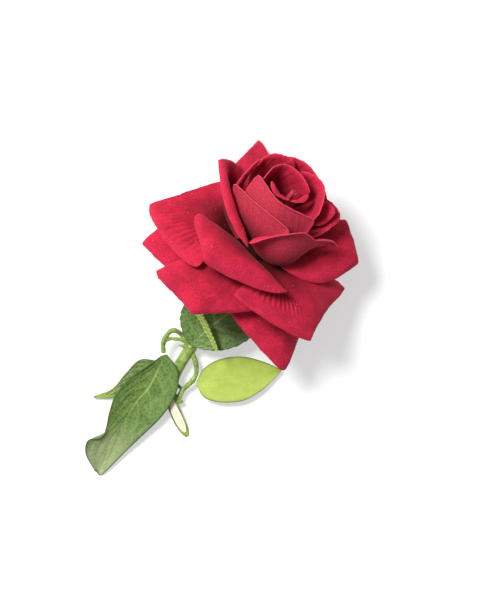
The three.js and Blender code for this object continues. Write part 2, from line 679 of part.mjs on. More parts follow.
// The four leaves, each as the two edges and the midrib of its blade from base to tip
const LEAVES = [
  {
    name: 'leaf_large',
    length: LARGE_LEAF_LENGTH,
    colour: LEAF_GREEN,
    right: [
      [-31.9, -23.9, 8.8], [-27.5, -30.2, 9.4], [-27.1, -37.2, 8.8], [-29.8, -44.6, 7.6],
      [-35, -51.7, 6.2], [-41.7, -58.3, 5], [-50.5, -66.7, 3.6], [-59.3, -75.6, 1.9], [-62, -76.9, 1.3],
    ],
    middle: [
      [-33.2, -24.1, 8.6], [-36.3, -31.1, 7.2], [-40.3, -38.5, 6.2], [-45.6, -44.7, 5.3],
      [-50.9, -53.1, 4.2], [-58, -63.2, 2.8], [-62.9, -75.6, 1.3],
    ],
    left: [
      [-34.5, -24.6, 8.8], [-40.2, -28.8, 9.3], [-47.2, -33.7, 8.8], [-52.1, -38.9, 8.2],
      [-55.1, -42.9, 7.6], [-57.4, -49.9, 6.6], [-58.7, -56.1, 5.8], [-60.9, -60.5, 6.2],
      [-66.5, -61.7, 8], [-67.5, -67.5, 5.4], [-63.7, -75.1, 1.9],
    ],
    along: 18,
  },
  {
    name: 'leaf_under',
    length: UNDER_LEAF_LENGTH,
    colour: LEAF_GREEN,
    right: [
      [-36.4, -29.8, 5.8], [-41.2, -35.1, 4.6], [-49.2, -41, 3.4],
      [-56, -43, 2.6], [-64, -43.1, 2],
    ],
    middle: [[-36.4, -28, 6.2], [-43.8, -31.6, 5], [-53.5, -38.6, 3.4], [-63.9, -42.7, 2.1]],
    left: [
      [-35.9, -26.7, 6.6], [-43.8, -26.3, 6], [-50, -32.2, 4.6],
      [-56.6, -39.8, 3.2], [-64.1, -42.4, 2.2],
    ],
    along: 8,
  },
  {
    name: 'leaf_back',
    length: BACK_LEAF_LENGTH,
    colour: LEAF_GREEN,
    right: [
      [-20.7, -20.1, 10.2], [-15.3, -21.8, 11], [-7.9, -22, 12], [0, -19.6, 12.8],
      [7, -14.4, 13], [11.3, -6.5, 12.5], [10.9, 0, 11.6],
    ],
    middle: [
      [-21.6, -19.4, 10.2], [-16.1, -14.4, 11.5], [-7.8, -7.8, 12.6],
      [2.2, -1.7, 12.4], [9.6, 1.7, 11.4],
    ],
    left: [
      [-22.5, -19, 10.4], [-24.9, -14.8, 11.8], [-26.2, -7.8, 13], [-23.5, 0, 14],
      [-15.2, 5.2, 14], [-3.5, 7, 13.2], [8.3, 3.5, 11.8],
    ],
    along: 10,
  },
  {
    name: 'leaf_lime',
    length: LIME_LEAF_LENGTH,
    colour: LIME,
    right: [
      [-18.7, -37.4, 5.4], [-16.2, -42.1, 5.5], [-11.2, -44.3, 5.5], [-5, -44.8, 5.3],
      [2, -43.8, 4.9], [9, -39.9, 4.2], [14, -35.4, 3.6], [18, -31.2, 3],
    ],
    middle: [[-18.9, -36.4, 5.3], [-10.5, -35.6, 5.4], [-0.9, -34.5, 4.9], [9.7, -32.9, 4], [18, -31, 3]],
    left: [
      [-18.7, -35.4, 5.5], [-16.4, -30.9, 5.9], [-11.8, -27.3, 6.1], [-5.5, -25.3, 6.1],
      [2, -25, 5.6], [9.2, -26.8, 4.8], [14.5, -28.9, 3.9], [18, -30.8, 3.1],
    ],
    along: 10,
  },
];

// A leaf grows from its base to its own length
function leaf({ name, length, colour, left, middle, right, along }) {
  const base = point(...middle[0]);
  const growth = length / base.distanceTo(point(...middle[middle.length - 1]));
  const grown = (place) => point(...place).sub(base).multiplyScalar(growth).add(base);
  const curves = [left, middle, right].map((places) => new THREE.CatmullRomCurve3(places.map(grown)));
  const edges = { left: curves[0], middle: curves[1], right: curves[2] };
  const form = { ...edges, bow: [2, 2], spread: [1, 1], round: [0, 0] };
  return piece(name, sheet(between(form, LEAF_COLUMNS, along), LEAF_THICKNESS), finish(colour, 0.7));
}

const rose = new THREE.Group();
rose.add(bloom, ...sepals(), stemCore(), stemSkin(), ...LEAVES.map(leaf));

// The origin is under the middle of the whole, on the table
rose.updateMatrixWorld(true);
const bounds = new THREE.Box3().setFromObject(rose, true);
rose.position.set(-(bounds.min.x + bounds.max.x) / 2, -(bounds.min.y + bounds.max.y) / 2, -bounds.min.z);

export default rose;
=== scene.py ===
import math

import bpy
import numpy as np
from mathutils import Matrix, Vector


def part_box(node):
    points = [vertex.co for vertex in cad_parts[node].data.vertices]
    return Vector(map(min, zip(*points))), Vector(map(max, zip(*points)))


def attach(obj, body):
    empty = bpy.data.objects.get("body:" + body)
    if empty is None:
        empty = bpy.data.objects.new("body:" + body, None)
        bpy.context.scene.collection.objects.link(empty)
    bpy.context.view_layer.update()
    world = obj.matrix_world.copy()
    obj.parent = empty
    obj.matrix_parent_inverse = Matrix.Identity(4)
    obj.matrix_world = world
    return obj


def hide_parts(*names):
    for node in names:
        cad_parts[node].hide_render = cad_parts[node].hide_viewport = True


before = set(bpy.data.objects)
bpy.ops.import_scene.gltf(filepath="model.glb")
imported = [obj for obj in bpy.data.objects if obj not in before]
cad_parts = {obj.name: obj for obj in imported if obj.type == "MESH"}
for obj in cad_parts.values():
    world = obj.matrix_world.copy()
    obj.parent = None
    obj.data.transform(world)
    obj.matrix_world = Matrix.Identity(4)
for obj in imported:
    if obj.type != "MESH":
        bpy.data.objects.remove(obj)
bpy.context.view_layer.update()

# The bud core: a ball of dyed wadding wound on the end of the stem. Every petal is glued round it,
# and it shows only deep between them, its red painted very dark as the shade there.

# Lengths are in mm, but for the camera's clip distances, and MM turns them to metres
MM = 0.001
CORE_RADIUS = 8.6
CORE_BASE = -6.0
CORE_TOP = 14.2
CORE_POINT = 16.0
SOCKET_RADIUS = 2.05
SOCKET_TOP = 3.0
BLOOM_LEAN = math.radians(42.0)
BLOOM_HEADING = math.radians(57.3)

# The bloom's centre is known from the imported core's box, whose middle lies this far from it
CORE_MIDDLE = np.array([-1.345, -0.7812, 0.5384])
core_low, core_high = (np.array(corner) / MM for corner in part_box("receptacle"))
bloom_centre = (core_low + core_high) / 2 - CORE_MIDDLE
bloom_axis = np.array([
    math.sin(BLOOM_LEAN) * math.cos(BLOOM_HEADING),
    math.sin(BLOOM_LEAN) * math.sin(BLOOM_HEADING),
    math.cos(BLOOM_LEAN),
])
bloom_right = np.array([math.sin(BLOOM_HEADING), -math.cos(BLOOM_HEADING), 0.0])
bloom_back = np.cross(bloom_axis, bloom_right)

# The drawn points of the stem and leaves are measured from the design's origin, in which the
# bloom's centre has this place
DESIGN_CENTRE = np.array([6.9, 25.6, 27.5])
design_origin = bloom_centre - DESIGN_CENTRE


def from_bloom(points):
    """Points of the bloom's own frame (right, back, up its axis) in the model's frame."""
    return bloom_centre + points @ np.stack([bloom_right, bloom_back, bloom_axis])


def around_axis(angle, radius, height):
    """A point at an angle in degrees round the axis, a distance from it and a height along it."""
    turn = np.radians(angle)
    parts = np.broadcast_arrays(radius * np.cos(turn), radius * np.sin(turn), height)
    return np.stack(parts, axis=-1).astype(float)


def core_radius(height):
    """The blunt bud: a quarter cosine from the full radius at the base to nothing at the point."""
    rise = np.maximum(0, (height - CORE_BASE) / (CORE_POINT - CORE_BASE))
    return CORE_RADIUS * np.cos(math.pi / 2 * rise)


def revolved(radii, heights, sides):
    """A closed surface of revolution: each inner profile point is swept round the axis into a ring,
    rings are joined by quads, and the first and last points are poles on the axis."""
    turns = np.arange(sides) * 360 / sides
    rings = around_axis(turns[None, :], radii[1:-1, None], heights[1:-1, None]).reshape(-1, 3)
    poles = np.array([[0, 0, heights[0]], [0, 0, heights[-1]]], float)
    ring, side = np.meshgrid(np.arange(len(radii) - 3), np.arange(sides), indexing="ij")
    low, high = ring * sides, (ring + 1) * sides
    beside = (side + 1) % sides
    walls = np.stack([low + side, low + beside, high + beside, high + side], axis=-1).reshape(-1, 4)
    first, last = np.arange(sides), np.arange(sides) + (len(radii) - 3) * sides
    start, end = len(rings), len(rings) + 1
    caps = [[start, (k + 1) % sides, k] for k in first.tolist()]
    caps += [[end, k, last[0] + (k + 1 - last[0]) % sides] for k in last.tolist()]
    return np.concatenate([rings, poles]), walls.tolist() + np.array(caps).tolist()


def make_piece(name, points, faces, material, **values):
    """An object at the origin with the points, given in mm, in its mesh, and its values as
    attributes of the points."""
    mesh = bpy.data.meshes.new(name)
    mesh.from_pydata((points * MM).tolist(), [], faces)
    mesh.shade_smooth()
    for label, value in values.items():
        attribute = mesh.attributes.new(label, "FLOAT", "POINT")
        attribute.data.foreach_set("value", value.astype(np.float32))
    mesh.materials.append(material)
    piece = bpy.data.objects.new(name, mesh)
    bpy.context.scene.collection.objects.link(piece)
    return piece


def linear(colour):
    """An sRGB hex colour as linear red, green, blue and a full alpha."""
    parts = np.array([int(colour[i:i + 2], 16) for i in (1, 3, 5)]) / 255
    light = np.where(parts <= 0.04045, parts / 12.92, ((parts + 0.055) / 1.055) ** 2.4)
    return (*light.tolist(), 1.0)


def add(material, kind, settings=None, **sockets):
    """Adds a node with its settings, and sets or links its sockets by name or by number (_0, _1).
    A node given as a value is linked by its first output in use. A ramp's stops are places from 0
    to 1 and hex colours, a texture reads Object coordinates, and on a colour Mix _0 is how much of
    _7 shows over _6."""
    node = material.node_tree.nodes.new(kind)
    settings = dict(settings or {})
    for index, (place, colour) in enumerate(settings.pop("stops", [])):
        if index > 1:
            node.color_ramp.elements.new(1.0)
        node.color_ramp.elements[index].position = place
        node.color_ramp.elements[index].color = linear(colour)
    for key, value in settings.items():
        setattr(node, key, value)
    if kind.startswith("ShaderNodeTex") and "Vector" in node.inputs:
        sockets["Vector"] = add(material, "ShaderNodeTexCoord").outputs["Object"]
    for key, value in sockets.items():
        socket = node.inputs[int(key[1:])] if key[0] == "_" else node.inputs[key.replace("_", " ")]
        if isinstance(value, bpy.types.Node):
            value = next(output for output in value.outputs if output.enabled)
        if isinstance(value, bpy.types.NodeSocket):
            material.node_tree.links.new(value, socket)
        else:
            socket.default_value = value
    return node


def bare_finish(name):
    """A material with no nodes yet."""
    material = bpy.data.materials.new(name)
    material.use_nodes = True
    material.node_tree.nodes.clear()
    return material


def surfaced(material, **surface):
    """The material with one Principled surface, whose plain values are set on its own sockets."""
    shader = add(material, "ShaderNodeBsdfPrincipled", **surface)
    add(material, "ShaderNodeOutputMaterial", Surface=shader)
    return material


# Dyed wadding: short cotton fibres, quite matte, its red uneven and painted very dark as the shade deep in
# the bloom
wadding = bare_finish("dyed_cotton_wadding_painted_dark")
wadding_tufts = add(wadding, "ShaderNodeTexNoise", Scale=1 / (1.2 * MM), Detail=3.0)
wadding_painted_shade_reds = {"stops": [(0.3, "#2A0206"), (0.7, "#6A0C18")]}
wadding_painted_shade_red = add(wadding, "ShaderNodeValToRGB", wadding_painted_shade_reds, Fac=wadding_tufts)
surfaced(wadding, Base_Color=wadding_painted_shade_red, Roughness=0.95)

bud_heights = np.linspace(CORE_BASE, CORE_TOP, 30)
core_heights = np.concatenate([[SOCKET_TOP, SOCKET_TOP, CORE_BASE], bud_heights, [CORE_TOP]])
core_radii = np.concatenate([[0, SOCKET_RADIUS, SOCKET_RADIUS], core_radius(bud_heights), [0]])
core_points, core_faces = revolved(core_radii, core_heights, 40)
bud_core = make_piece("bud_core", from_bloom(core_points), core_faces, wadding)
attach(bud_core, "root")
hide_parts("receptacle")

# The petals: velvet-faced crepe paper, cut out, cupped over a hot ball tool and rolled back at the
# rim. Each is glued to the core by its narrow claw, in rings from the outermost inward.

PAPER = 0.42
CLEARANCE = 0.3
CLAW = 0.6
SEAT_OFFSET = CLEARANCE + 0.5
REACH_OUT = 0.42
REACH_IN = 0.36
PETAL_ROWS = 65
PLAIN_COLUMNS = 77
RIDGED_COLUMNS = 181
ABOVE_TABLE = 0.05
DUST_SPACING = 3.6


def curve_through(points, share):
    """The cubic Bezier curve of four points at each share from 0 to 1, the points weighted by the
    Bernstein products of share and 1 - share."""
    left = 1 - share
    weights = [left ** 3, 3 * left ** 2 * share, 3 * left * share ** 2, share ** 3]
    return sum(weight[..., None] * point for weight, point in zip(weights, points))


def rib_points(rib, middle_angle, seat):
    """A petal rib's four Bezier points: it leaves the core at one lean and comes to the rim at
    another, a lean of 0 being up the axis and 90 straight out."""
    angle, radius, height, lean_out, lean_in, *reaches = rib
    reach_out, reach_in = reaches or (REACH_OUT, REACH_IN)
    seat_angle = middle_angle + (angle - middle_angle) * CLAW
    start = around_axis(seat_angle, core_radius(seat) + SEAT_OFFSET, seat)
    end = around_axis(angle, radius, height)
    length = np.linalg.norm(end - start)
    leaving, arriving = math.radians(lean_out), math.radians(lean_in)
    leave = around_axis(seat_angle, math.sin(leaving), math.cos(leaving))
    arrive = around_axis(angle, math.sin(arriving), math.cos(arriving))
    return start, start + leave * reach_out * length, end - arrive * reach_in * length, end


def sheet_between(left, middle, right, across, along, bow, spread, nose):
    """The sheet spanned by three ribs: from the middle rib it sets off across along the half span,
    times a spread, and comes round to the side rib by a power of the place across. A power of 2 is
    a round cup and 1 a fold, and the nose is how softly the fold turns."""
    l, m, r = (curve_through(points, along) for points in (left, middle, right))
    reach = (np.hypot(across, nose) - nose) / (math.hypot(1, nose) - nose)
    toward_rim = np.clip((along - 0.35) / 0.65, 0, 1) ** 1.5
    on_left = across < 0
    power = 2 + (np.where(on_left, bow[0], bow[1]) - 2) * toward_rim
    wide = 1 + (np.where(on_left, spread[0], spread[1]) - 1) * toward_rim
    away = wide[..., None] * (r - l) / 2 * np.where(on_left, -1, 1)[..., None]
    end = np.where(on_left[..., None], l, r)
    return m + np.abs(across)[..., None] * away + (reach ** power)[..., None] * (end - m - away)


def wander(place, seed, waves=5):
    """A smooth random line between about -1 and 1: sines of rising frequency, each with its own
    phase, its height falling as its frequency rises."""
    draw = np.random.default_rng(seed)
    total = np.zeros_like(place, float)
    for wave in range(1, waves + 1):
        total += np.sin(place * wave * draw.uniform(2.2, 3.6) + draw.uniform(0, 2 * math.pi)) / wave
    return total / 1.6


def normals_of(grid):
    """The unit normal at each point of a grid, across its columns and along its rows."""
    along, across = np.gradient(grid, axis=0), np.gradient(grid, axis=1)
    normal = np.cross(across, along)
    return normal / np.maximum(np.linalg.norm(normal, axis=-1, keepdims=True), 1e-9)


def closed_sheet(grid, thickness):
    """A sheet of paper round a grid: a face half the thickness to each side, and between them a
    rounded cut edge whose middle line stands a little proud. Also each point's side, 1 on the face
    that looks outward, and its share of the cut edge."""
    rows, columns = grid.shape[:2]
    offset = normals_of(grid) * thickness / 2
    i, j = np.meshgrid(np.arange(rows), np.arange(columns), indexing="ij")
    inward = grid[np.clip(i, 1, rows - 2), np.clip(j, 1, columns - 2)]
    proud = grid - inward
    proud *= 0.3 * thickness / np.maximum(np.linalg.norm(proud, axis=-1, keepdims=True), 1e-9)
    loop = np.concatenate([
        np.arange(columns),
        np.arange(1, rows) * columns + columns - 1,
        (rows - 1) * columns + np.arange(columns - 2, -1, -1),
        np.arange(rows - 2, 0, -1) * columns,
    ])
    points = np.concatenate([
        (grid + offset).reshape(-1, 3),
        (grid - offset).reshape(-1, 3),
        (grid + proud).reshape(-1, 3)[loop],
    ])
    k = (i[:-1, :-1] * columns + j[:-1, :-1]).ravel()
    back = rows * columns
    outer = np.stack([k, k + 1, k + columns + 1, k + columns], axis=-1)
    inner = np.stack([k, k + columns, k + columns + 1, k + 1], axis=-1) + back
    edge, next_edge = loop, np.roll(loop, -1)
    line = 2 * back + np.arange(len(loop))
    next_line = np.roll(line, -1)
    outer_rim = np.stack([edge, line, next_line, next_edge], axis=-1)
    inner_rim = np.stack([line, back + edge, back + next_edge, next_line], axis=-1)
    faces = np.concatenate([outer, inner, outer_rim, inner_rim]).tolist()
    side = np.concatenate([np.ones(back), np.zeros(back), np.full(len(loop), 0.5)])
    cut = np.zeros(2 * back + len(loop))
    cut[loop] = cut[back + loop] = 0.75
    cut[2 * back:] = 1.0
    return points, faces, side, cut


def on_all(values, loop_values):
    """Values of a grid's points for both faces of a closed sheet and then its cut edge."""
    return np.concatenate([values.ravel(), values.ravel(), loop_values])


def petal_form(row, seed):
    """A petal in the bloom's frame: its sheet between three ribs, with its corners rounded by
    drawing the rim back where it nears a side, its rim uneven by a wandering line, its face
    rippled by a wandering line, stepped by logistic tucks and ridged by a sine, its lip rolled back
    by a square of the nearness to the edge. Returned with how far each point is from the edge, in
    mm, and its share of the way from claw to rim."""
    t = np.linspace(-1, 1, RIDGED_COLUMNS if "ridges" in row else PLAIN_COLUMNS)
    s = np.linspace(0, 1, PETAL_ROWS)
    t = 0.55 * t + 0.45 * np.sin(math.pi / 2 * t)
    s = 0.6 * s + 0.4 * np.sin(math.pi / 2 * s)
    along, across = np.meshgrid(s, t, indexing="ij")
    rounding = np.where(across < 0, row["round"][0], row["round"][1])
    drawn_back = rounding * np.abs(across) ** 9 + 0.004 * wander(7 * across, seed)
    for place, amount, width in row["waves"]:
        drawn_back -= amount * np.exp(-((across - place) / width) ** 2) * along
    along = along * (1 - drawn_back)
    across = across * (1 - 0.012 * wander(5 * along, seed + 1) * along)
    ribs = [rib_points(row[rib], row["middle"][0], row["seat"]) for rib in ("left", "middle", "right")]
    grid = sheet_between(*ribs, across, along, row["bow"], row["spread"], row["nose"])
    normal = normals_of(grid)
    width = np.linalg.norm(grid[:, -1] - grid[:, 0], axis=-1)[:, None]
    length = np.linalg.norm(ribs[1][3] - ribs[1][0])
    to_side = (1 - np.abs(across)) * width / 2
    to_rim = (s[-1] - np.broadcast_to(s[:, None], across.shape)) * length
    from_edge = np.minimum(to_side, to_rim)
    ripple = 0.22 * wander(3 * across + 2 * along, seed + 2) * along
    for place, height, low, high in row.get("tucks", ()):
        tuck = height / (1 + np.exp((along - place - 0.04 * np.sin(3 * across)) / 0.014))
        ripple = ripple - tuck * np.clip((across - low) / 0.2, 0, 1) * np.clip((high - across) / 0.3, 0, 1)
    ripples = row.get("ridges", 0.0)
    if ripples:
        count = row["ridge_count"]
        low, high = row.get("ridge_zone", (0.35, 1.0))
        zone = np.clip((along - low) / 0.2, 0, 1) * np.clip((high - along) / 0.12, 0, 1)
        zone = zone * np.clip((across - row["ridge_from"]) / 0.2, 0, 1)
        zone = zone * np.clip((row["ridge_to"] - across) / 0.2, 0, 1)
        phase = count * math.pi * across
        phase = phase + 1.2 * wander(4 * along, seed + 3) + wander(3 * across, seed + 4)
        ripple = ripple + ripples * np.sin(phase) * zone
    lip = np.exp(-from_edge / 0.9)
    depth, reach = row.get("roll", (0.0, 1.0))
    unevenly = 1 + 0.15 * wander(3 * across + 2 * along, seed + 5, 3)
    rolled = depth * np.clip(1 - from_edge / reach, 0, 1) ** 2 * unevenly
    rolled = rolled * np.clip((along - 0.35) / 0.3, 0, 1)
    grid = grid + normal * (ripple * (1 - lip) + rolled)[..., None]
    return grid, from_edge, along


def petal(name, row, seed, material, raw_edge):
    """A petal's closed sheet of paper in the model's frame, with its values for the finish. The raw
    edge is how pale the cut shows, from 0 to 1. Where a rim would dip below the table, it lies flat
    on it, the face that looks outward down."""
    grid, from_edge, along = petal_form(row, seed)
    points, faces, side, cut = closed_sheet(grid, PAPER)
    loop = len(points) - 2 * grid.shape[0] * grid.shape[1]
    # deep is painted shade, from 1 at the claw to 0 at the rim, and rim is the nearness to the edge, for the
    # painted highlight on the lip
    deep = on_all(1 - along, np.zeros(loop))
    rim = on_all(np.exp(-from_edge / 1.6), np.ones(loop))
    values = {"outer": side, "cut": raw_edge * cut, "deep": deep, "rim": rim}
    placed = from_bloom(points)
    placed[:, 2] = np.maximum(placed[:, 2], ABOVE_TABLE + PAPER * (1 - side))
    return make_piece(name, placed, faces, material, **values)


def petal_row(seat, bow, left, middle, right, round=(0.045, 0.045), nose=0.05, spread=(1, 1),
              waves=(), **more):
    """One petal: the height of its seat on the core, the bow of its two halves, and its ribs."""
    return {"seat": seat, "bow": bow, "left": left, "middle": middle, "right": right,
            "round": round, "nose": nose, "spread": spread, "waves": waves, **more}


def crepe_finish(name, face, shade, back, cut_edge):
    """Velvet crepe paper: a matte nap with a soft sheen toward grazing light, mottled where the
    fibres lie different ways, darker toward the claw by painted shade, brighter along the rolled lip by
    a painted highlight, paler along the raw cut edge, with a few specks of dust. Light passes a little
    way through the thin paper."""
    material = bare_finish(name)
    outer, deep, rim, cut = (
        add(material, "ShaderNodeAttribute", {"attribute_name": label}).outputs["Fac"]
        for label in ("outer", "deep", "rim", "cut")
    )
    nap_grain, clouds, strewn, fuzz = (
        add(material, "ShaderNodeTexNoise", Scale=1 / (size * MM), Detail=3.0, Roughness=rough)
        for size, rough in ((0.7, 0.7), (6.0, 0.5), (0.5, 0.85), (0.35, 0.75))
    )
    # claw is painted shade: it darkens the colour toward the petal's claw, by the deep value
    nap, soft, fibres, claw = (
        add(material, "ShaderNodeValToRGB", {"stops": stops}, Fac=source)
        for source, stops in (
            (nap_grain, [(0.25, shade), (0.62, face)]),
            (clouds, [(0.3, "#D8D8D8"), (0.7, "#FFFFFF")]),
            (strewn, [(0.28, shade), (0.55, back), (0.74, "#D06C7C")]),
            (deep, [(0.0, "#FFFFFF"), (0.3, "#F6E6E6"), (0.75, "#6A2226")]),
        )
    )
    # lip is a painted highlight: near the rim it brings the colour back toward the full face colour
    lip, edge = (
        add(material, "ShaderNodeMath", {"operation": "MULTIPLY"}, _0=place, _1=strength)
        for place, strength in ((rim, 0.45), (cut, 0.8))
    )
    specks = add(material, "ShaderNodeTexVoronoi", {"feature": "F1"}, Scale=1 / (DUST_SPACING * MM))
    dust = add(material, "ShaderNodeMapRange", _0=specks, _1=0.035, _2=0.055, _3=0.4, _4=0.0)
    colour = nap
    for blend, share, over in (
        ("MULTIPLY", 1.0, soft), ("MIX", outer, fibres), ("MULTIPLY", 1.0, claw),
        ("MIX", lip, linear(face)), ("MIX", dust, linear("#F0C4C6")), ("MIX", edge, linear(cut_edge)),
    ):
        mode = {"data_type": "RGBA", "blend_type": blend}
        colour = add(material, "ShaderNodeMix", mode, _0=share, _6=colour, _7=over)
    return surfaced(
        material, Base_Color=colour, Roughness=0.88, Sheen_Weight=0.16, Sheen_Roughness=0.4,
        Sheen_Tint=linear("#FF7080"), Specular_IOR_Level=0.2, Subsurface_Weight=0.3,
        Subsurface_Radius=(1.0, 0.12, 0.12), Subsurface_Scale=0.9 * MM,
        Normal=add(material, "ShaderNodeBump", Height=fuzz, Strength=0.35, Distance=0.12 * MM),
    )


crimson_crepe = crepe_finish("velvet_crepe_paper", "#D62A4C", "#A21834", "#B43348", "#D06674")

OUTER_PETALS = {
    "outer_petal_1": petal_row(
        -6, (1.05, 0.95), (281.2, 33.4, -12, 75, 125), (321.9, 51.9, -25, 75, 135),
        (355.8, 34.7, -14, 75, 125), nose=0.14),
    "outer_petal_2": petal_row(
        -4, (0.85, 1), (234.2, 50.8, -8, 45, 135), (263, 47.1, -10, 45, 140),
        (297.9, 35.4, -4, 45, 135), nose=0.03),
    "outer_petal_3": petal_row(
        -6, (1.1, 1.1), (186, 36.2, -9, 70, 120), (210.3, 47.3, -14, 70, 125),
        (235.3, 36.2, -14, 70, 120)),
    "outer_petal_4": petal_row(
        -5.4, (1.5, 1.5), (42.6, 43.5, 0.7, 60, 100), (63.1, 43, 2.3, 51, 99),
        (79.8, 45.8, 4.4, 72, 88)),
    "outer_petal_5": petal_row(
        -4, (1.5, 1.5), (76.5, 43.7, 6, 50, 95), (90.8, 45.6, 4.8, 50, 90),
        (100.8, 40.5, 2.9, 50, 95)),
    "outer_petal_6": petal_row(
        -2.7, (1.3, 0.6), (278.6, 38.6, 5, 47, 85, 0.42, 0.34), (328.3, 50.8, -5, 40, 130),
        (370.3, 46.3, -4, 40, 125), nose=0.1, ridges=0.5,
        ridge_count=25, ridge_zone=(0.4, 0.8), ridge_from=-0.98, ridge_to=0.0),
    "outer_petal_7": petal_row(
        -2.5, (0.75, 1.35), (151.5, 30.8, 6, 54, 120, 0.36, 0.33), (195.7, 48.8, -2, 40, 108),
        (246.8, 41.6, 3, 40, 135), round=(0.05, 0.1), nose=0.1,
        tucks=((0.46, 0.75, -0.95, 0.5),), ridges=0.7,
        ridge_count=26, ridge_zone=(0.5, 0.94), ridge_from=-0.6, ridge_to=0.9),
    "outer_petal_8": petal_row(
        -2, (0.8, 0.8), (108.7, 39.1, 10, 50, 100), (116.4, 52.3, 6, 50, 105),
        (145.1, 32.3, 10, 50, 100), nose=0.16),
    "outer_petal_9": petal_row(
        -0.3, (3, 0.85), (-38.5, 20.3, 8, 65, 125, 0.36, 0.28), (15.7, 44.7, 10, 30, 124),
        (39.8, 38.2, 17, 30, 109), nose=0.1, spread=(1.8, 1)),
    "outer_petal_10": petal_row(
        -0.6, (1, 1.6), (214.9, 36.6, 18, 53, 85, 0.45, 0.36), (250.3, 39, 10.3, 32, 150, 0.71, 0.47),
        (311.9, 39.3, 13, 57, 99, 0.46, 0.36), round=(0.2, 0.16), roll=(2.0, 4.5)),
}

CUP_PETALS = {
    "cup_petal_1": petal_row(
        1.9, (1.1, 2.2), (149.5, 25.5, 21.2, 59, 81, 0.49, 0.36), (179.1, 31.8, 29, 92, 110, 0.58, 0.35),
        (266.9, 20.9, 14.9, 70, 127, 0.56, 0.48), spread=(1, 2.2)),
    "cup_petal_2": petal_row(
        4.5, (1.5, 1.5), (262.2, 23.3, 22, 73, 75, 0.58, 0.47), (316.9, 18.3, 33.6, 84, -5, 0.75, 0.34),
        (369.8, 32.0, 22, 68, 80, 0.5, 0.37), waves=((0.42, -0.1, 0.2),), round=(0.03, 0.05),
        roll=(1.8, 3.6)),
    "cup_petal_3": petal_row(
        4.5, (1.4, 1.4), (-3.6, 20.6, 24, 60, 60, 0.5, 0.36), (24.8, 27.3, 28.5, 60, 61, 0.5, 0.37),
        (40.7, 20.3, 31.9, 60, 40, 0.5, 0.36)),
    "cup_petal_4": petal_row(
        3.4, (1.8, 1.8), (40.3, 21.3, 30.7, 65, -4, 0.55, 0.36), (84.4, 18.1, 37, 66, -10, 0.55, 0.36),
        (120.9, 18, 35.9, 64, -2, 0.56, 0.35)),
    "cup_petal_5": petal_row(
        5, (1.8, 1.8), (100.2, 16.1, 37, 53, 5, 0.46, 0.43), (135.1, 18, 37.6, 60, -5, 0.5, 0.36),
        (150.6, 18.8, 30, 65, -4, 0.6, 0.36)),
    "cup_petal_6": petal_row(
        4.5, (1.8, 1.8), (156.1, 18, 36.9, 65, 0, 0.52, 0.33), (174.1, 18.4, 32, 53, 0, 0.55, 0.31),
        (190, 19.6, 25, 57, 11, 0.52, 0.33)),
    "cup_petal_7": petal_row(
        7.4, (1.5, 1.5), (194.2, 21.2, 29.7, 52, 14, 0.52, 0.36), (237.1, 14.1, 32.8, 52, -3, 0.61, 0.3),
        (306.5, 16.7, 32.1, 69, -3, 0.63, 0.37)),
}

INNER_PETALS = {
    "inner_petal_1": petal_row(
        6.5, (1.5, 1.5), (8.9, 20.4, 27, 50, 60, 0.5, 0.36), (22.5, 23.6, 31.9, 50, 60, 0.5, 0.36),
        (37.4, 19.9, 32, 50, 50, 0.5, 0.36)),
    "inner_petal_2": petal_row(
        9, (1.5, 1.5), (190.3, 13.7, 39.4, 60, -10, 0.6, 0.36), (268, 8.9, 38, 55, -15, 0.6, 0.33),
        (348.4, 16.3, 35, 60, -10, 0.6, 0.36)),
    "inner_petal_3": petal_row(
        10, (1.5, 1.5), (0, 16, 36, 38, 0, 0.43, 0.44), (50.4, 17.7, 37.1, 50, 11, 0.46, 0.36),
        (87.9, 15.2, 35.8, 50, -12, 0.5, 0.43)),
    "inner_petal_4": petal_row(
        11.3, (2, 2), (39.0, 10.0, 37.8, 55, -10, 0.53, 0.43), (125.7, 10.1, 40.5, 45, -10, 0.5, 0.36),
        (190.6, 10.7, 38, 45, -10, 0.5, 0.36)),
    "inner_petal_5": petal_row(
        12, (1.5, 1.5), (184.9, 8.4, 38, 20, 70), (232.1, 6.4, 36.5, 20, 85), (329.6, 4.3, 35.5, 20, 70)),
    "inner_petal_6": petal_row(
        13.5, (1.5, 1.5), (-23.6, 5.0, 35.5, 32, 60), (13.5, 8.7, 35.2, 36, 75),
        (39.6, 10.6, 35.5, 36, 60)),
}

# How far each ring's lips are rolled back, and over what width, in mm
LIP_ROLLS = {"outer": (1.1, 3.0), "cup": (0.8, 2.2), "inner": (0.6, 1.7)}

for seed, (name, row) in enumerate((OUTER_PETALS | CUP_PETALS | INNER_PETALS).items()):
    row.setdefault("roll", LIP_ROLLS[name.split("_")[0]])
    raw_edge = 0.05 if name in OUTER_PETALS else 0.5
    paper_petal = petal("paper_" + name, row, 10 * seed, crimson_crepe, raw_edge)
    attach(paper_petal, "root")
    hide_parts(name)

# The heart: a strip of the same paper rolled up tight and glued on end in the bud core. Its top
# edge is cut unevenly and a little frayed.

ROLL_RADIUS = 1.6
ROLL_HEIGHT = 20.0
ROLL_PAPER = 0.35
ROLL_TURNS = 1.6
ROLL_HOLE_RADIUS = 0.45
ROLL_HEADING = 55.0
ROLL_LEAN = math.radians(14.0)

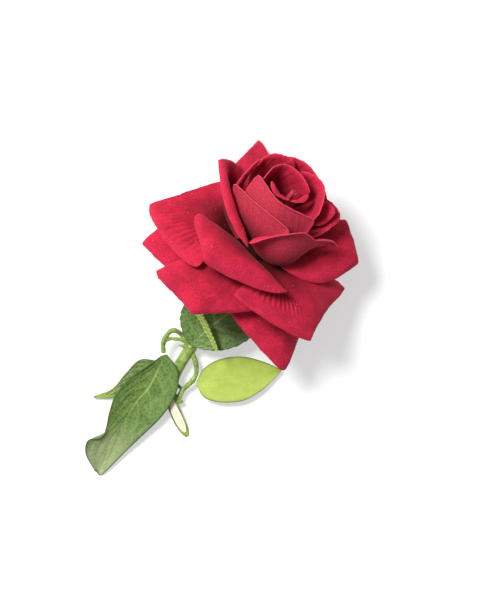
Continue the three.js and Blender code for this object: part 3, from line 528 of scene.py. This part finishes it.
roll_axis = around_axis(ROLL_HEADING, math.sin(ROLL_LEAN), math.cos(ROLL_LEAN))
roll_side = around_axis(ROLL_HEADING + 90, 1.0, 0.0)
roll_foot = np.array([0.0, 0.0, CORE_TOP + CLEARANCE + ROLL_RADIUS * math.sin(ROLL_LEAN)])
turned, risen = np.meshgrid(np.linspace(0, 1, 90), np.linspace(0, 1, 50))
roll_reach = ROLL_HOLE_RADIUS + (ROLL_RADIUS - ROLL_PAPER / 2 - ROLL_HOLE_RADIUS) * turned
roll_reach = roll_reach * (1 + 0.1 * risen ** 4 * wander(9 * turned, 71))
roll_top = ROLL_HEIGHT + 0.5 * wander(12 * turned, 72) - 0.6 * turned
roll_angle = 2 * math.pi * ROLL_TURNS * turned
roll_grid = (
    roll_foot
    + (roll_reach * np.cos(roll_angle))[..., None] * np.cross(roll_side, roll_axis)
    + (roll_reach * np.sin(roll_angle))[..., None] * roll_side
    + (risen * roll_top)[..., None] * roll_axis
)
roll_points, roll_faces, roll_outer, roll_cut = closed_sheet(roll_grid, ROLL_PAPER)
# Painted shade: the roll's colour is darkened toward its foot, deep in the core
roll_painted_shade = np.clip(0.9 - (roll_points @ roll_axis - 14) / 22, 0, 1)
heart_roll = make_piece(
    "paper_heart_roll", from_bloom(roll_points), roll_faces, crimson_crepe,
    outer=roll_outer, cut=0.5 * roll_cut, deep=roll_painted_shade,
)
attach(heart_roll, "root")
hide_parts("heart_roll")

# The calyx: a pleated cup of green crepe paper, glued under the petals round the stem's core.

CALYX_LIP_RADIUS = 8.9
CALYX_NECK_RADIUS = 4.2
CALYX_HEIGHT = 10.4
CALYX_TOP = CORE_BASE - 2 * CLEARANCE
CALYX_BOTTOM = CALYX_TOP - CALYX_HEIGHT
STEM_CORE_RADIUS = 1.9


def calyx_radius(height):
    """The cup's outside: from the neck it widens to the lip by a quarter sine of its height."""
    share = np.clip((height - CALYX_BOTTOM) / CALYX_HEIGHT, 0, 1)
    return CALYX_NECK_RADIUS + (CALYX_LIP_RADIUS - CALYX_NECK_RADIUS) * np.sin(math.pi / 2 * share)


def green_finish(name, dark, light, patch_mm, roughness, line=None, line_colour="#C8D880", sheen=0.0):
    """A green surface, mottled between two colours in patches of a size in mm. The line names the
    mesh's own attribute that says where it takes the line's colour."""
    material = bare_finish(name)
    patches = add(material, "ShaderNodeTexNoise", Scale=1 / (patch_mm * MM), Detail=3.0, Roughness=0.65)
    colour = add(material, "ShaderNodeValToRGB", {"stops": [(0.3, dark), (0.7, light)]}, Fac=patches)
    if line:
        share = add(material, "ShaderNodeAttribute", {"attribute_name": line}).outputs["Fac"]
        colour = add(
            material, "ShaderNodeMix", {"data_type": "RGBA"}, _0=share, _6=colour,
            _7=linear(line_colour),
        )
    return surfaced(
        material, Base_Color=colour, Roughness=roughness, Sheen_Weight=sheen, Sheen_Roughness=0.4,
    )


# Green crepe paper: matte, its fine grain running up the pleats
calyx_green = green_finish("green_crepe_paper", "#50722C", "#7E9C46", 1.5, 0.85, sheen=0.15)

CUP_SIDES = 120
CUP_ROWS = 26
PLEATS = 20
PLEAT_DEPTH = 0.12
CUP_INSET = 0.13
around, up = np.meshgrid(np.arange(CUP_SIDES) * 360 / CUP_SIDES, np.linspace(0, 1, CUP_ROWS))
cup_height = CALYX_BOTTOM + CALYX_HEIGHT * up
pleat = PLEAT_DEPTH * np.cos(np.radians(PLEATS * around)) * np.sin(math.pi * up) ** 0.5
outside = around_axis(around, calyx_radius(cup_height) - CUP_INSET + pleat, cup_height)
bored = around_axis(around[:2], STEM_CORE_RADIUS + CLEARANCE, cup_height[[-1, 0]])
cup_rings = np.concatenate([outside, bored]).reshape(-1, 3)
ring, turn = np.meshgrid(np.arange(CUP_ROWS + 2), np.arange(CUP_SIDES), indexing="ij")
next_turn = (turn + 1) % CUP_SIDES
low, high = ring * CUP_SIDES, (ring + 1) % (CUP_ROWS + 2) * CUP_SIDES
cup_faces = np.stack([low + turn, low + next_turn, high + next_turn, high + turn], axis=-1).reshape(-1, 4)
calyx_cup = make_piece("calyx_cup", from_bloom(cup_rings), cup_faces.tolist(), calyx_green)
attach(calyx_cup, "root")
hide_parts("calyx")

# The five sepals: narrow strips of stiff green paper, ribbed across and toothed along both sides,
# glued round the calyx. One turns down the stem and lies over the back leaf, in full view.

SEPAL_PAPER = 0.45
SEPAL_LENGTH = 17.0
SEPAL_WIDTH = 5.0
SEPAL_TEETH = 6
SEPAL_KEEL = 0.5
SEPAL_DROOP = 1.6
SEPAL_SEAT = -8.2
FRONT_SEPAL_ANGLE = 283.0
SEPAL_FOOT = calyx_radius(SEPAL_SEAT) + 1.5 * CLEARANCE
FRONT_SEPAL_FOOT = calyx_radius(SEPAL_SEAT) + 2.5 * CLEARANCE


def smooth_line(points, share):
    """The curve through the points: a Catmull-Rom cubic between each two, with the end points
    mirrored to give the ends their direction."""
    points = np.asarray(points, float)
    points = np.vstack([2 * points[0] - points[1], points, 2 * points[-1] - points[-2]])
    place = np.asarray(share) * (len(points) - 3)
    k = np.clip(place.astype(int), 0, len(points) - 4)
    t = (place - k)[..., None]
    a, b, c, d = points[k], points[k + 1], points[k + 2], points[k + 3]
    return b + t / 2 * (c - a + t * (2 * a - 5 * b + 4 * c - d + t * (3 * b - a - 3 * c + d)))


def sepal_sheet(path, side, width, teeth):
    """A strip along a path: its half width falls toward the tip by a sine and dips between the
    teeth by a cosine, its middle stands up in a keel, and its face is ribbed once a tooth."""
    along, across = np.meshgrid(np.linspace(0, 1, 12 * teeth + 1), np.linspace(-1, 1, 13), indexing="ij")
    spine = smooth_line(path, along)
    taper = 0.25 + 0.75 * np.sin(math.pi * (0.3 + 0.7 * along)) ** 0.7
    taper *= np.clip((1.02 - along) / 0.12, 0, 1) ** 0.5
    notch = 0.5 + 0.5 * np.cos(2 * math.pi * teeth * along)
    reach = width / 2 * taper * (1 - 0.16 * notch)
    up = np.cross(side, np.gradient(spine, axis=0))
    up /= np.linalg.norm(up, axis=-1, keepdims=True)
    lift = SEPAL_KEEL * (1 - np.abs(across)) - 0.11 * notch * np.abs(across)
    lift = lift + 0.16 * np.exp(-(across / 0.16) ** 2)
    grid = spine + (reach * across)[..., None] * side + lift[..., None] * up
    # pale is a painted highlight, along the keel and toward the teeth
    pale = np.clip(1.1 * np.exp(-(across / 0.2) ** 2) + 0.75 * (1 - notch) * np.abs(across), 0, 1)
    return grid, pale


def sheet_piece(name, node, slot, grid, thickness, material, **values):
    """A closed sheet as a piece that stands for a node, its values the same on both faces."""
    points, faces, side, cut = closed_sheet(grid, thickness)
    for label, value in values.items():
        on_edge = np.concatenate([value[0], value[1:, -1], value[-1, -2::-1], value[-2:0:-1, 0]])
        values[label] = on_all(value, on_edge)
    piece = make_piece(name, points, faces, material, outer=side, cut=cut, **values)
    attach(piece, "root")
    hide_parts(node)
    return piece


# Stiff lime-green paper: a painted highlight makes the ribs pale, and the furrows between them are green
sepal_green = green_finish(
    "ribbed_green_paper", "#7E9E3C", "#A3BE55", 0.8, 0.7, line="pale", line_colour="#D3E284",
)

front_path = np.vstack([
    from_bloom(around_axis(FRONT_SEPAL_ANGLE, FRONT_SEPAL_FOOT, SEPAL_SEAT)),
    design_origin + np.array([
        (-10, 4.8, 23.6), (-17, -0.5, 21.6), (-17.8, -5.8, 20.5), (-15.6, -10, 19.6),
        (-13.4, -14.8, 18.7), (-11.3, -19.3, 17.9), (-10, -22.6, 17.2),
    ]),
])
front_side = np.array([0.95, -0.3, 0.1])
front_grid, front_pale = sepal_sheet(front_path, front_side, SEPAL_WIDTH - 1, 3 * SEPAL_TEETH)
sheet_piece("paper_sepal_1", "sepal_1", "calyx_paper", front_grid, SEPAL_PAPER, sepal_green, pale=front_pale)
for number in range(2, 6):
    sepal_angle = FRONT_SEPAL_ANGLE + 72 * (number - 1)
    back_path = from_bloom(np.array([
        around_axis(sepal_angle, SEPAL_FOOT, SEPAL_SEAT),
        around_axis(sepal_angle, SEPAL_FOOT + 0.4 * SEPAL_LENGTH, SEPAL_SEAT - 0.75 * SEPAL_DROOP),
        around_axis(sepal_angle, SEPAL_FOOT + SEPAL_LENGTH, SEPAL_SEAT - SEPAL_DROOP),
    ]))
    back_side = from_bloom(around_axis(sepal_angle + 90, 1.0, 0.0)) - bloom_centre
    back_grid, back_pale = sepal_sheet(back_path, back_side, SEPAL_WIDTH, SEPAL_TEETH)
    sheet_piece(
        f"paper_sepal_{number}", f"sepal_{number}", "calyx_paper", back_grid, SEPAL_PAPER, sepal_green,
        pale=back_pale,
    )

# The leaves: printed polyester cloth, stamped with veins and heat-formed so that it curls. Each is
# glued by its base to a side shoot; the pale lime one is a plain unprinted leaf.

LEAF_CLOTH = 0.5
LEAF_ROWS = 151
LEAF_COLUMNS = 81
LEAF_NET = 1.7


def leaf_sheet(left, middle, right, seed, teeth=0, vein_pairs=7, relief=0.16):
    """A leaf between its two edges and its midrib. The midrib is a furrow, and side veins leave it
    in pairs, curving toward the tip, each a bell of the distance to it; the cloth swells between
    them by a cosine. Teeth are cut along the edge. Returned with the share of vein and of edge at
    each point, and its share of the way from base to tip."""
    s, t = np.linspace(0, 1, LEAF_ROWS), np.linspace(-1, 1, LEAF_COLUMNS)
    along, across = np.meshgrid(s, t, indexing="ij")
    l, m, r = (smooth_line(design_origin + np.array(line), along) for line in (left, middle, right))
    away = (r - l) / 2 * np.sign(across)[..., None]
    end = np.where((across < 0)[..., None], l, r)
    u = np.abs(across)
    if teeth:
        saw = (along * teeth + 0.15 * wander(9 * along, seed)) % 1
        u = u * (1 - 0.03 * saw * u ** 6)
    u = u[..., None]
    grid = m + u * away + u ** 2 * (end - m - away)
    u = u[..., 0]
    bent = along - 0.26 * u ** 1.25 + 0.012 * wander(5 * along + 3 * np.sign(across), seed + 1)
    distance = np.abs((bent * vein_pairs + 0.5 * (across < 0)) % 1 - 0.5)
    fade = np.clip((1 - u) / 0.25, 0, 1)
    fade = fade * np.clip(along / 0.08, 0, 1) * np.clip((1 - along) / 0.12, 0, 1)
    side_vein = np.exp(-(distance / 0.045) ** 2) * fade * (1 - 0.6 * u)
    midrib = np.exp(-(u / (0.045 * (1.15 - along))) ** 2) * np.clip((1 - along) / 0.05, 0, 1)
    swell = np.cos(2 * math.pi * distance) * 0.5 * fade * np.clip(u / 0.15, 0, 1)
    lift = relief * (swell - 1.6 * midrib) + relief * wander(3 * across + 4 * along, seed + 2) * u * fade
    normal = normals_of(grid)
    upward = np.sign((normal @ np.array([0.0, 0.0, 1.0])).sum())
    grid = grid + normal * upward * lift[..., None]
    from_edge = np.minimum(1 - u, 4 * (1 - along))
    return grid, np.clip(midrib + 0.5 * side_vein, 0, 1), np.exp(-from_edge / 0.035), along


def leaf_finish(name, dark, light, vein, edge, tip):
    """Printed leaf cloth: a netted print of pale lines on green, pale veins, a dark cut edge and,
    toward the tip, patches of the tip colour: a painted sheen highlight on the large leaf, and the
    lime underside on the leaf beneath it."""
    material = bare_finish(name)
    on_vein, on_rim, on_tip = (
        add(material, "ShaderNodeAttribute", {"attribute_name": label}).outputs["Fac"]
        for label in ("vein", "rim", "tip")
    )
    patches, tip_sheen_and_underside_noise, weave = (
        add(material, "ShaderNodeTexNoise", Scale=1 / (size * MM), Detail=3.0, Roughness=rough)
        for size, rough in ((4.0, 0.6), (2.5, 0.7), (0.5, 0.7))
    )
    net = {"feature": "DISTANCE_TO_EDGE"}
    cells = add(material, "ShaderNodeTexVoronoi", net, Scale=1 / (LEAF_NET * MM))
    lines = add(material, "ShaderNodeMapRange", _0=cells, _1=0.0, _2=0.13, _3=0.3, _4=0.0)
    # Patches of the tip colour toward the tip: a painted sheen highlight on the large leaf, the lime
    # underside on the leaf under it
    tip_sheen_and_underside = add(material, "ShaderNodeMath", {"operation": "MULTIPLY"}, _0=on_tip, _1=tip_sheen_and_underside_noise)
    colour = add(material, "ShaderNodeValToRGB", {"stops": [(0.3, dark), (0.7, light)]}, Fac=patches)
    for share, over in ((lines, vein), (tip_sheen_and_underside, tip), (on_vein, vein), (on_rim, edge)):
        colour = add(
            material, "ShaderNodeMix", {"data_type": "RGBA"}, _0=share, _6=colour, _7=linear(over),
        )
    return surfaced(
        material, Base_Color=colour, Roughness=0.5, Specular_IOR_Level=0.35, Sheen_Weight=0.1,
        Normal=add(material, "ShaderNodeBump", Height=weave, Strength=0.3, Distance=0.1 * MM),
    )


# The large leaf's tip colour is a painted sheen highlight
printed_leaf = leaf_finish(
    "printed_green_leaf_cloth", "#3F5E22", "#5E7C34", "#9DB25E", "#33501C", "#BCC298",
)
under_leaf = leaf_finish(
    "lime_tipped_leaf_cloth", "#45622A", "#66823A", "#A6B86A", "#3E5C1E", "#B4CC58",
)
# The back leaf's cloth is the printed cloth painted lighter, standing in for light where the bloom's shade
# falls on it
back_leaf_painted_lighter = leaf_finish(
    "printed_back_leaf_cloth_painted_lighter", "#46652B", "#5F803B", "#A2B86E", "#3E5A22", "#B9C4A0",
)
lime_leaf = leaf_finish(
    "plain_lime_leaf_cloth", "#A4B94C", "#B4C859", "#9FB44C", "#557B2C", "#BFD263",
)

LEAVES = {
    "leaf_large": dict(
        left=[
            (-34.5, -24.6, 8.8), (-40.2, -28.8, 9.3), (-47.2, -33.7, 8.8), (-52.1, -38.9, 8.2),
            (-55.1, -42.9, 7.6), (-57.4, -49.9, 6.6), (-58.7, -56.1, 5.8), (-60.9, -60.5, 6.2),
            (-66.5, -61.7, 8), (-67.5, -67.5, 5.4), (-63.7, -75.1, 1.9),
        ],
        middle=[
            (-33.2, -24.1, 8.6), (-36.3, -31.1, 7.2), (-40.3, -38.5, 6.2), (-45.6, -44.7, 5.3),
            (-50.9, -53.1, 4.2), (-58, -63.2, 2.8), (-62.9, -75.6, 1.3),
        ],
        right=[
            (-31.9, -23.9, 8.8), (-27.5, -30.2, 9.4), (-27.1, -37.2, 8.8), (-29.8, -44.6, 7.6),
            (-35, -51.7, 6.2), (-41.7, -58.3, 5), (-50.5, -66.7, 3.6), (-59.3, -75.6, 1.9),
            (-62, -76.9, 1.3),
        ],
        seed=31,
    ),
    "leaf_under": dict(
        left=[
            (-35.9, -26.7, 6.6), (-43.8, -26.3, 6), (-50, -32.2, 4.6), (-56.6, -39.8, 3.2),
            (-64.1, -42.4, 2.2),
        ],
        middle=[(-36.4, -28, 6.2), (-43.8, -31.6, 5), (-53.5, -38.6, 3.4), (-63.9, -42.7, 2.1)],
        right=[
            (-36.4, -29.8, 5.8), (-41.2, -35.1, 4.6), (-49.2, -41, 3.4), (-56, -43, 2.6),
            (-64, -43.1, 2),
        ],
        seed=32, relief=0.12,
    ),
    "leaf_back": dict(
        left=[
            (-22.5, -19, 10.4), (-24.9, -14.8, 11.8), (-26.2, -7.8, 13), (-23.5, 0, 14),
            (-15.2, 5.2, 14), (-3.5, 7, 13.2), (8.3, 3.5, 11.8),
        ],
        middle=[
            (-21.6, -19.4, 10.2), (-16.1, -14.4, 11.5), (-7.8, -7.8, 12.6), (2.2, -1.7, 12.4),
            (9.6, 1.7, 11.4),
        ],
        right=[
            (-20.7, -20.1, 10.2), (-15.3, -21.8, 11), (-7.9, -22, 12), (0, -19.6, 12.8),
            (7, -14.4, 13), (11.3, -6.5, 12.5), (10.9, 0, 11.6),
        ],
        teeth=13, seed=33,
    ),
    "leaf_lime": dict(
        left=[
            (-18.7, -35.4, 5.5), (-16.4, -30.9, 5.9), (-11.8, -27.3, 6.1), (-5.5, -25.3, 6.1),
            (2, -25, 5.6), (9.2, -26.8, 4.8), (14.5, -28.9, 3.9), (18, -30.8, 3.1),
        ],
        middle=[
            (-18.9, -36.4, 5.3), (-10.5, -35.6, 5.4), (-0.9, -34.5, 4.9), (9.7, -32.9, 4),
            (18, -31, 3),
        ],
        right=[
            (-18.7, -37.4, 5.4), (-16.2, -42.1, 5.5), (-11.2, -44.3, 5.5), (-5, -44.8, 5.3),
            (2, -43.8, 4.9), (9, -39.9, 4.2), (14, -35.4, 3.6), (18, -31.2, 3),
        ],
        seed=34, vein_pairs=5, relief=0.03,
    ),
}

# Each leaf's cloth, its slot and how strongly its veins are printed
CLOTHS = {
    "leaf_large": (printed_leaf, "leaf_paper", 0.8),
    "leaf_under": (under_leaf, "leaf_paper", 0.8),
    "leaf_back": (back_leaf_painted_lighter, "leaf_paper", 0.8),
    "leaf_lime": (lime_leaf, "lime_paper", 0.2),
}

for name, form in LEAVES.items():
    cloth, slot, print_strength = CLOTHS[name]
    grid, vein, rim, along = leaf_sheet(**form)
    # On the large leaf the tip patches are a painted sheen highlight; on the leaf under it they are its lime
    # underside, seen where it curls over
    tip_sheen_and_underside_share = np.clip((along - 0.62) / 0.3, 0, 1) * (name in ("leaf_large", "leaf_under"))
    sheet_piece(
        "cloth_" + name, name, slot, grid, LEAF_CLOTH, cloth, vein=print_strength * vein, rim=rim,
        tip=tip_sheen_and_underside_share,
    )

# The stem: green plastic moulded over a pale fibre core, with its knot, thorn and the side shoots
# that carry the leaves all in one. It is cut off on a long slant that lays the core bare.

STEM_RADIUS = 2.55
STEM_CORE_SOCKET = 9.0
PETIOLE_RADIUS = 1.1
TWIG_RADIUS = 0.8
THORN_RADIUS = 1.2
KNOT_RADIUS = 3.1
FLARE_RADIUS = 0.75
CUT_SLOPE = math.radians(16.0)
CUT_HEADING = (0.41, -0.91)
CUT_PLACE = (-22, -59.8, 0.35)
CUT_HALF_WIDTH = 30
CUT_HEIGHT = 60
SHARP_ANGLE = math.radians(35)
MOULD_VOXEL = 0.26


def in_design(*points):
    """Points measured from the design's origin, in the model's frame."""
    return design_origin + np.array(points, float)


def up_the_axis(height):
    """A point on the bloom's axis."""
    return from_bloom(np.array([0.0, 0.0, height]))


stem_line = np.vstack([
    up_the_axis(CORE_BASE + STEM_CORE_SOCKET - CLEARANCE), up_the_axis(CORE_BASE - 1),
    up_the_axis(CALYX_BOTTOM), up_the_axis(CALYX_BOTTOM - 6),
    in_design(
        (-7.9, 1.8, 7.4), (-15.3, -10.9, 6.6), (-22.3, -21.8, 6), (-27.6, -30.7, 5),
        (-30.3, -38.6, 3.9), (-29.8, -44.8, 3.4), (-27.2, -51.8, 3.05), (-21.1, -64.1, 2.8),
    ),
])
SHOOTS = [
    (PETIOLE_RADIUS, [
        (-22.2, -20, 6.2), (-24.2, -16.6, 7.6), (-25.8, -14.9, 8.6), (-28.4, -13.3, 9.6),
        (-30.6, -13.9, 10), (-32.6, -16.4, 10), (-33.6, -19.2, 9.6), (-33.4, -23.2, 8.7),
    ]),
    (TWIG_RADIUS, [
        (-22.8, -19, 6.4), (-25.8, -17.4, 7.6), (-28.4, -17, 8.8), (-30.8, -17, 9.5), (-33, -18.2, 9.8),
    ]),
    (PETIOLE_RADIUS, [
        (-21.6, -21.8, 6), (-19.8, -26.2, 5.9), (-19, -31.1, 5.6), (-20.4, -34.9, 5.2),
        (-23.2, -37.7, 4.8), (-25.4, -39.9, 4.4), (-26.8, -43, 4), (-28.2, -45.6, 3.6),
    ]),
    (TWIG_RADIUS, [(-29.4, -36.4, 4.2), (-27, -37.8, 4.4), (-25, -39.3, 4.5)]),
    (TWIG_RADIUS, [(-21.4, -34, 5.2), (-20.8, -34.6, 5.2), (-20, -35.3, 5.3)]),
    (PETIOLE_RADIUS, [(-21.8, -20.6, 6), (-21.8, -20.4, 7.6), (-21.8, -20.1, 9.2)]),
]


def tube_along(path, radius, sides, steps, start=0.0, grain=0.0, seed=0):
    """A closed round tube round a smooth line: rings square to it, each carried on from the last
    so that they do not twist, the radius given plain or as values along it, and a pole at each
    end. The grain is how deep the ridges that run along it are."""
    share = np.linspace(start, 1, steps)
    spine = smooth_line(path, share)
    ahead = np.gradient(spine, axis=0)
    ahead /= np.linalg.norm(ahead, axis=-1, keepdims=True)
    square = np.cross(ahead, [0.3, 0.9, 0.31])
    square /= np.linalg.norm(square, axis=-1, keepdims=True)
    across = np.cross(ahead, square)
    turn = np.arange(sides) * 2 * math.pi / sides
    ridged = 1 + grain * wander(6 * np.sin(turn), seed)
    reach = np.broadcast_to(radius, share.shape)[:, None] * ridged
    ring = square[:, None] * np.cos(turn)[None, :, None] + across[:, None] * np.sin(turn)[None, :, None]
    rings = (spine[:, None] + ring * reach[..., None]).reshape(-1, 3)
    points = np.concatenate([rings, spine[:1], spine[-1:]])
    i, j = np.meshgrid(np.arange(steps - 1), np.arange(sides), indexing="ij")
    k, beside = i * sides + j, i * sides + (j + 1) % sides
    walls = np.stack([k, beside, beside + sides, k + sides], axis=-1).reshape(-1, 4).tolist()
    first, last = steps * sides, steps * sides + 1
    end = (steps - 1) * sides
    walls += [[first, (n + 1) % sides, n] for n in range(sides)]
    walls += [[last, end + n, end + (n + 1) % sides] for n in range(sides)]
    return points, walls


def applied(piece, *modifiers):
    """Puts modifiers on a piece, each a kind and its settings, and keeps their result as its mesh."""
    for kind, settings in modifiers:
        modifier = piece.modifiers.new(kind, kind)
        for key, value in settings.items():
            setattr(modifier, key, value)
    depsgraph = bpy.context.evaluated_depsgraph_get()
    shaped = bpy.data.meshes.new_from_object(piece.evaluated_get(depsgraph))
    piece.modifiers.clear()
    piece.data = shaped
    shaped.shade_smooth()
    shaped.set_sharp_from_angle(angle=SHARP_ANGLE)


def cut_away(piece, *cutters):
    """Takes the cutters' volumes out of a piece, then deletes the cutters."""
    kept = {"operation": "DIFFERENCE", "solver": "EXACT"}
    applied(piece, *[("BOOLEAN", {**kept, "object": cutter}) for cutter in cutters])
    for cutter in cutters:
        bpy.data.objects.remove(cutter)


def cut_block(name):
    """Everything past the slanted cut, as a box that stands on the plane of the cut."""
    heading = np.array([*CUT_HEADING, 0.0]) / math.hypot(*CUT_HEADING)
    outward = heading * math.sin(CUT_SLOPE) + np.array([0, 0, math.cos(CUT_SLOPE)])
    beside = np.cross(outward, heading)
    beside /= np.linalg.norm(beside)
    third = np.cross(outward, beside)
    half = CUT_HALF_WIDTH
    square = ((-half, -half), (half, -half), (half, half), (-half, half))
    corners = np.array([[x, y, z] for z in (0, CUT_HEIGHT) for x, y in square])
    points = in_design(CUT_PLACE) + corners @ np.stack([beside, third, outward])
    faces = [[3, 2, 1, 0], [4, 5, 6, 7], [0, 1, 5, 4], [1, 2, 6, 5], [2, 3, 7, 6], [3, 0, 4, 7]]
    return make_piece(name, points, faces, fibre_core)


# The fibre core: pressed paper pulp, cream and quite matte, with faint strands along it
fibre_core = bare_finish("pressed_fibre_core")
strands = add(fibre_core, "ShaderNodeTexNoise", Scale=1 / (0.6 * MM), Detail=3.0, Roughness=0.7)
pulp = {"stops": [(0.25, "#EFE0BE"), (0.6, "#FBF1DA")]}
surfaced(
    fibre_core, Base_Color=add(fibre_core, "ShaderNodeValToRGB", pulp, Fac=strands), Roughness=0.85,
    Normal=add(fibre_core, "ShaderNodeBump", Height=strands, Strength=0.5, Distance=0.15 * MM),
)

# Soft moulded plastic: smooth and a little waxy, its green mottled at random from dark to lime, the lime
# patches a painted highlight
stem_plastic = green_finish("moulded_green_plastic", "#4F7028", "#A9C05C", 3.2, 0.42)

core_tube = tube_along(stem_line, STEM_CORE_RADIUS, 32, 120, grain=0.012, seed=51)
stem_core = make_piece("fibre_stem_core", *core_tube, fibre_core)
cut_away(stem_core, cut_block("core_cut"))
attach(stem_core, "root")
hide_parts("stem_core")

# The skin starts where the core comes out of the calyx, at a share of the line's steps
LINE_STEPS = 399
stem_spine = smooth_line(stem_line, np.linspace(0, 1, LINE_STEPS + 1))
step_lengths = np.linalg.norm(np.diff(stem_spine, axis=0), axis=1)
covered = CORE_BASE + STEM_CORE_SOCKET - CALYX_BOTTOM
skin_start = np.searchsorted(np.cumsum(step_lengths), covered) / LINE_STEPS
solids = [tube_along(stem_line, STEM_RADIUS, 40, 160, start=skin_start, grain=0.02, seed=52)]
for radius, path in SHOOTS:
    swollen = radius * (1 + 0.12 * wander(9 * np.linspace(0, 1, 60), 53))
    solids.append(tube_along(in_design(*path), swollen, 20, 60, grain=0.03, seed=54))
knot_path = in_design((-21.8, -20.6, 3.2), (-21.8, -20.6, 6), (-21.8, -20.6, 8.8))
knot_radius = KNOT_RADIUS * np.sin(np.linspace(0.06, math.pi - 0.06, 24))
solids.append(tube_along(knot_path, knot_radius, 24, 24))
thorn_path = in_design((-22, -20.4, 6.7), (-24.6, -20.2, 7.1), (-27.3, -19.6, 7.4))
solids.append(tube_along(thorn_path, THORN_RADIUS * np.linspace(1.15, 0.12, 24), 20, 24))
flare_path = in_design((-28.4, -43.6, 3.9), (-26.6, -44.8, 4.4), (-25.1, -44.3, 4.9))
solids.append(tube_along(flare_path, FLARE_RADIUS, 16, 20))
mould_points, mould_faces = [], []
for points, faces in solids:
    offset = sum(len(part) for part in mould_points)
    mould_points.append(points)
    mould_faces += [[corner + offset for corner in face] for face in faces]
stem_skin = make_piece("moulded_stem", np.concatenate(mould_points), mould_faces, stem_plastic)
applied(
    stem_skin,
    ("REMESH", {"mode": "VOXEL", "voxel_size": MOULD_VOXEL * MM}),
    ("SMOOTH", {"factor": 0.5, "iterations": 6}),
)
bore = make_piece("core_bore", *tube_along(stem_line, STEM_CORE_RADIUS + CLEARANCE, 32, 120), stem_plastic)
cut_away(stem_skin, bore, cut_block("skin_cut"))
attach(stem_skin, "root")
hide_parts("stem_skin")

# The studio: a white table top, a broad soft lamp at the upper left of the view, high enough to
# throw short shadows to the lower right, and an even white sky.


def flat_square(name, half, height, material):
    """A level square of the given half width at a height."""
    square = ((-half, -half), (half, -half), (half, half), (-half, half))
    corners = np.array([[x, y, height] for x, y in square])
    return make_piece(name, corners, [[0, 1, 2, 3]], material)


# White laminate, matte. To the eye it is white wherever the lamp reaches, so a share of its
# brightness is its own for the camera and its reflections, and the rest takes the shadow.
table_white = bare_finish("white_table_top")
laminate = add(table_white, "ShaderNodeBsdfPrincipled", Base_Color=linear("#E8E8E8"), Roughness=0.9)
seen_table = add(table_white, "ShaderNodeBsdfDiffuse", Color=linear("#C4C4C4"))
own_white = add(table_white, "ShaderNodeEmission", Color=(1, 1, 1, 1), Strength=0.5)
both_whites = add(table_white, "ShaderNodeAddShader", _0=seen_table, _1=own_white)
ray = add(table_white, "ShaderNodeLightPath")
seen = add(
    table_white, "ShaderNodeMath", {"operation": "MAXIMUM"},
    _0=ray.outputs["Is Camera Ray"], _1=ray.outputs["Is Glossy Ray"],
)
chosen = add(table_white, "ShaderNodeMixShader", _0=seen, _1=laminate, _2=both_whites)
add(table_white, "ShaderNodeOutputMaterial", Surface=chosen)
table_top = flat_square("table_top", 900.0, -ABOVE_TABLE, table_white)


def soft_lamp(name, place, target, size, power):
    """A round area lamp at a place, turned to a target, both in mm."""
    data = bpy.data.lights.new(name, "AREA")
    data.shape = "DISK"
    data.size = size * MM
    data.energy = power
    lamp = bpy.data.objects.new(name, data)
    lamp.location = [value * MM for value in place]
    aim = Vector([(b - a) * MM for a, b in zip(place, target)])
    lamp.rotation_mode = "QUATERNION"
    lamp.rotation_quaternion = aim.to_track_quat("-Z", "Y")
    bpy.context.scene.collection.objects.link(lamp)
    return lamp


soft_lamp("key_lamp", place=(-400.0, 380.0, 960.0), target=(0.0, 20.0, 20.0), size=380.0, power=15.5)

world = bpy.data.worlds.new("studio")
bpy.context.scene.world = world
world.use_nodes = True
sky = world.node_tree.nodes["Background"]
sky.inputs["Color"].default_value = (1, 1, 1, 1)
sky.inputs["Strength"].default_value = 0.32

# The camera looks straight down from far off, over the middle of the photograph's frame
FRAME_HEIGHT = 264.0
CAMERA_DISTANCE = 1400.0
SENSOR = 36.0
camera_data = bpy.data.cameras.new("camera")
camera_data.sensor_width = SENSOR
camera_data.lens = SENSOR * CAMERA_DISTANCE / FRAME_HEIGHT
camera_data.clip_start = 0.1
camera_data.clip_end = 10.0
camera = bpy.data.objects.new("camera", camera_data)
camera.location = ((design_origin + np.array([0, 0, CAMERA_DISTANCE])) * MM).tolist()
bpy.context.scene.collection.objects.link(camera)
bpy.context.scene.camera = camera
bpy.context.scene.view_settings.view_transform = "Standard"
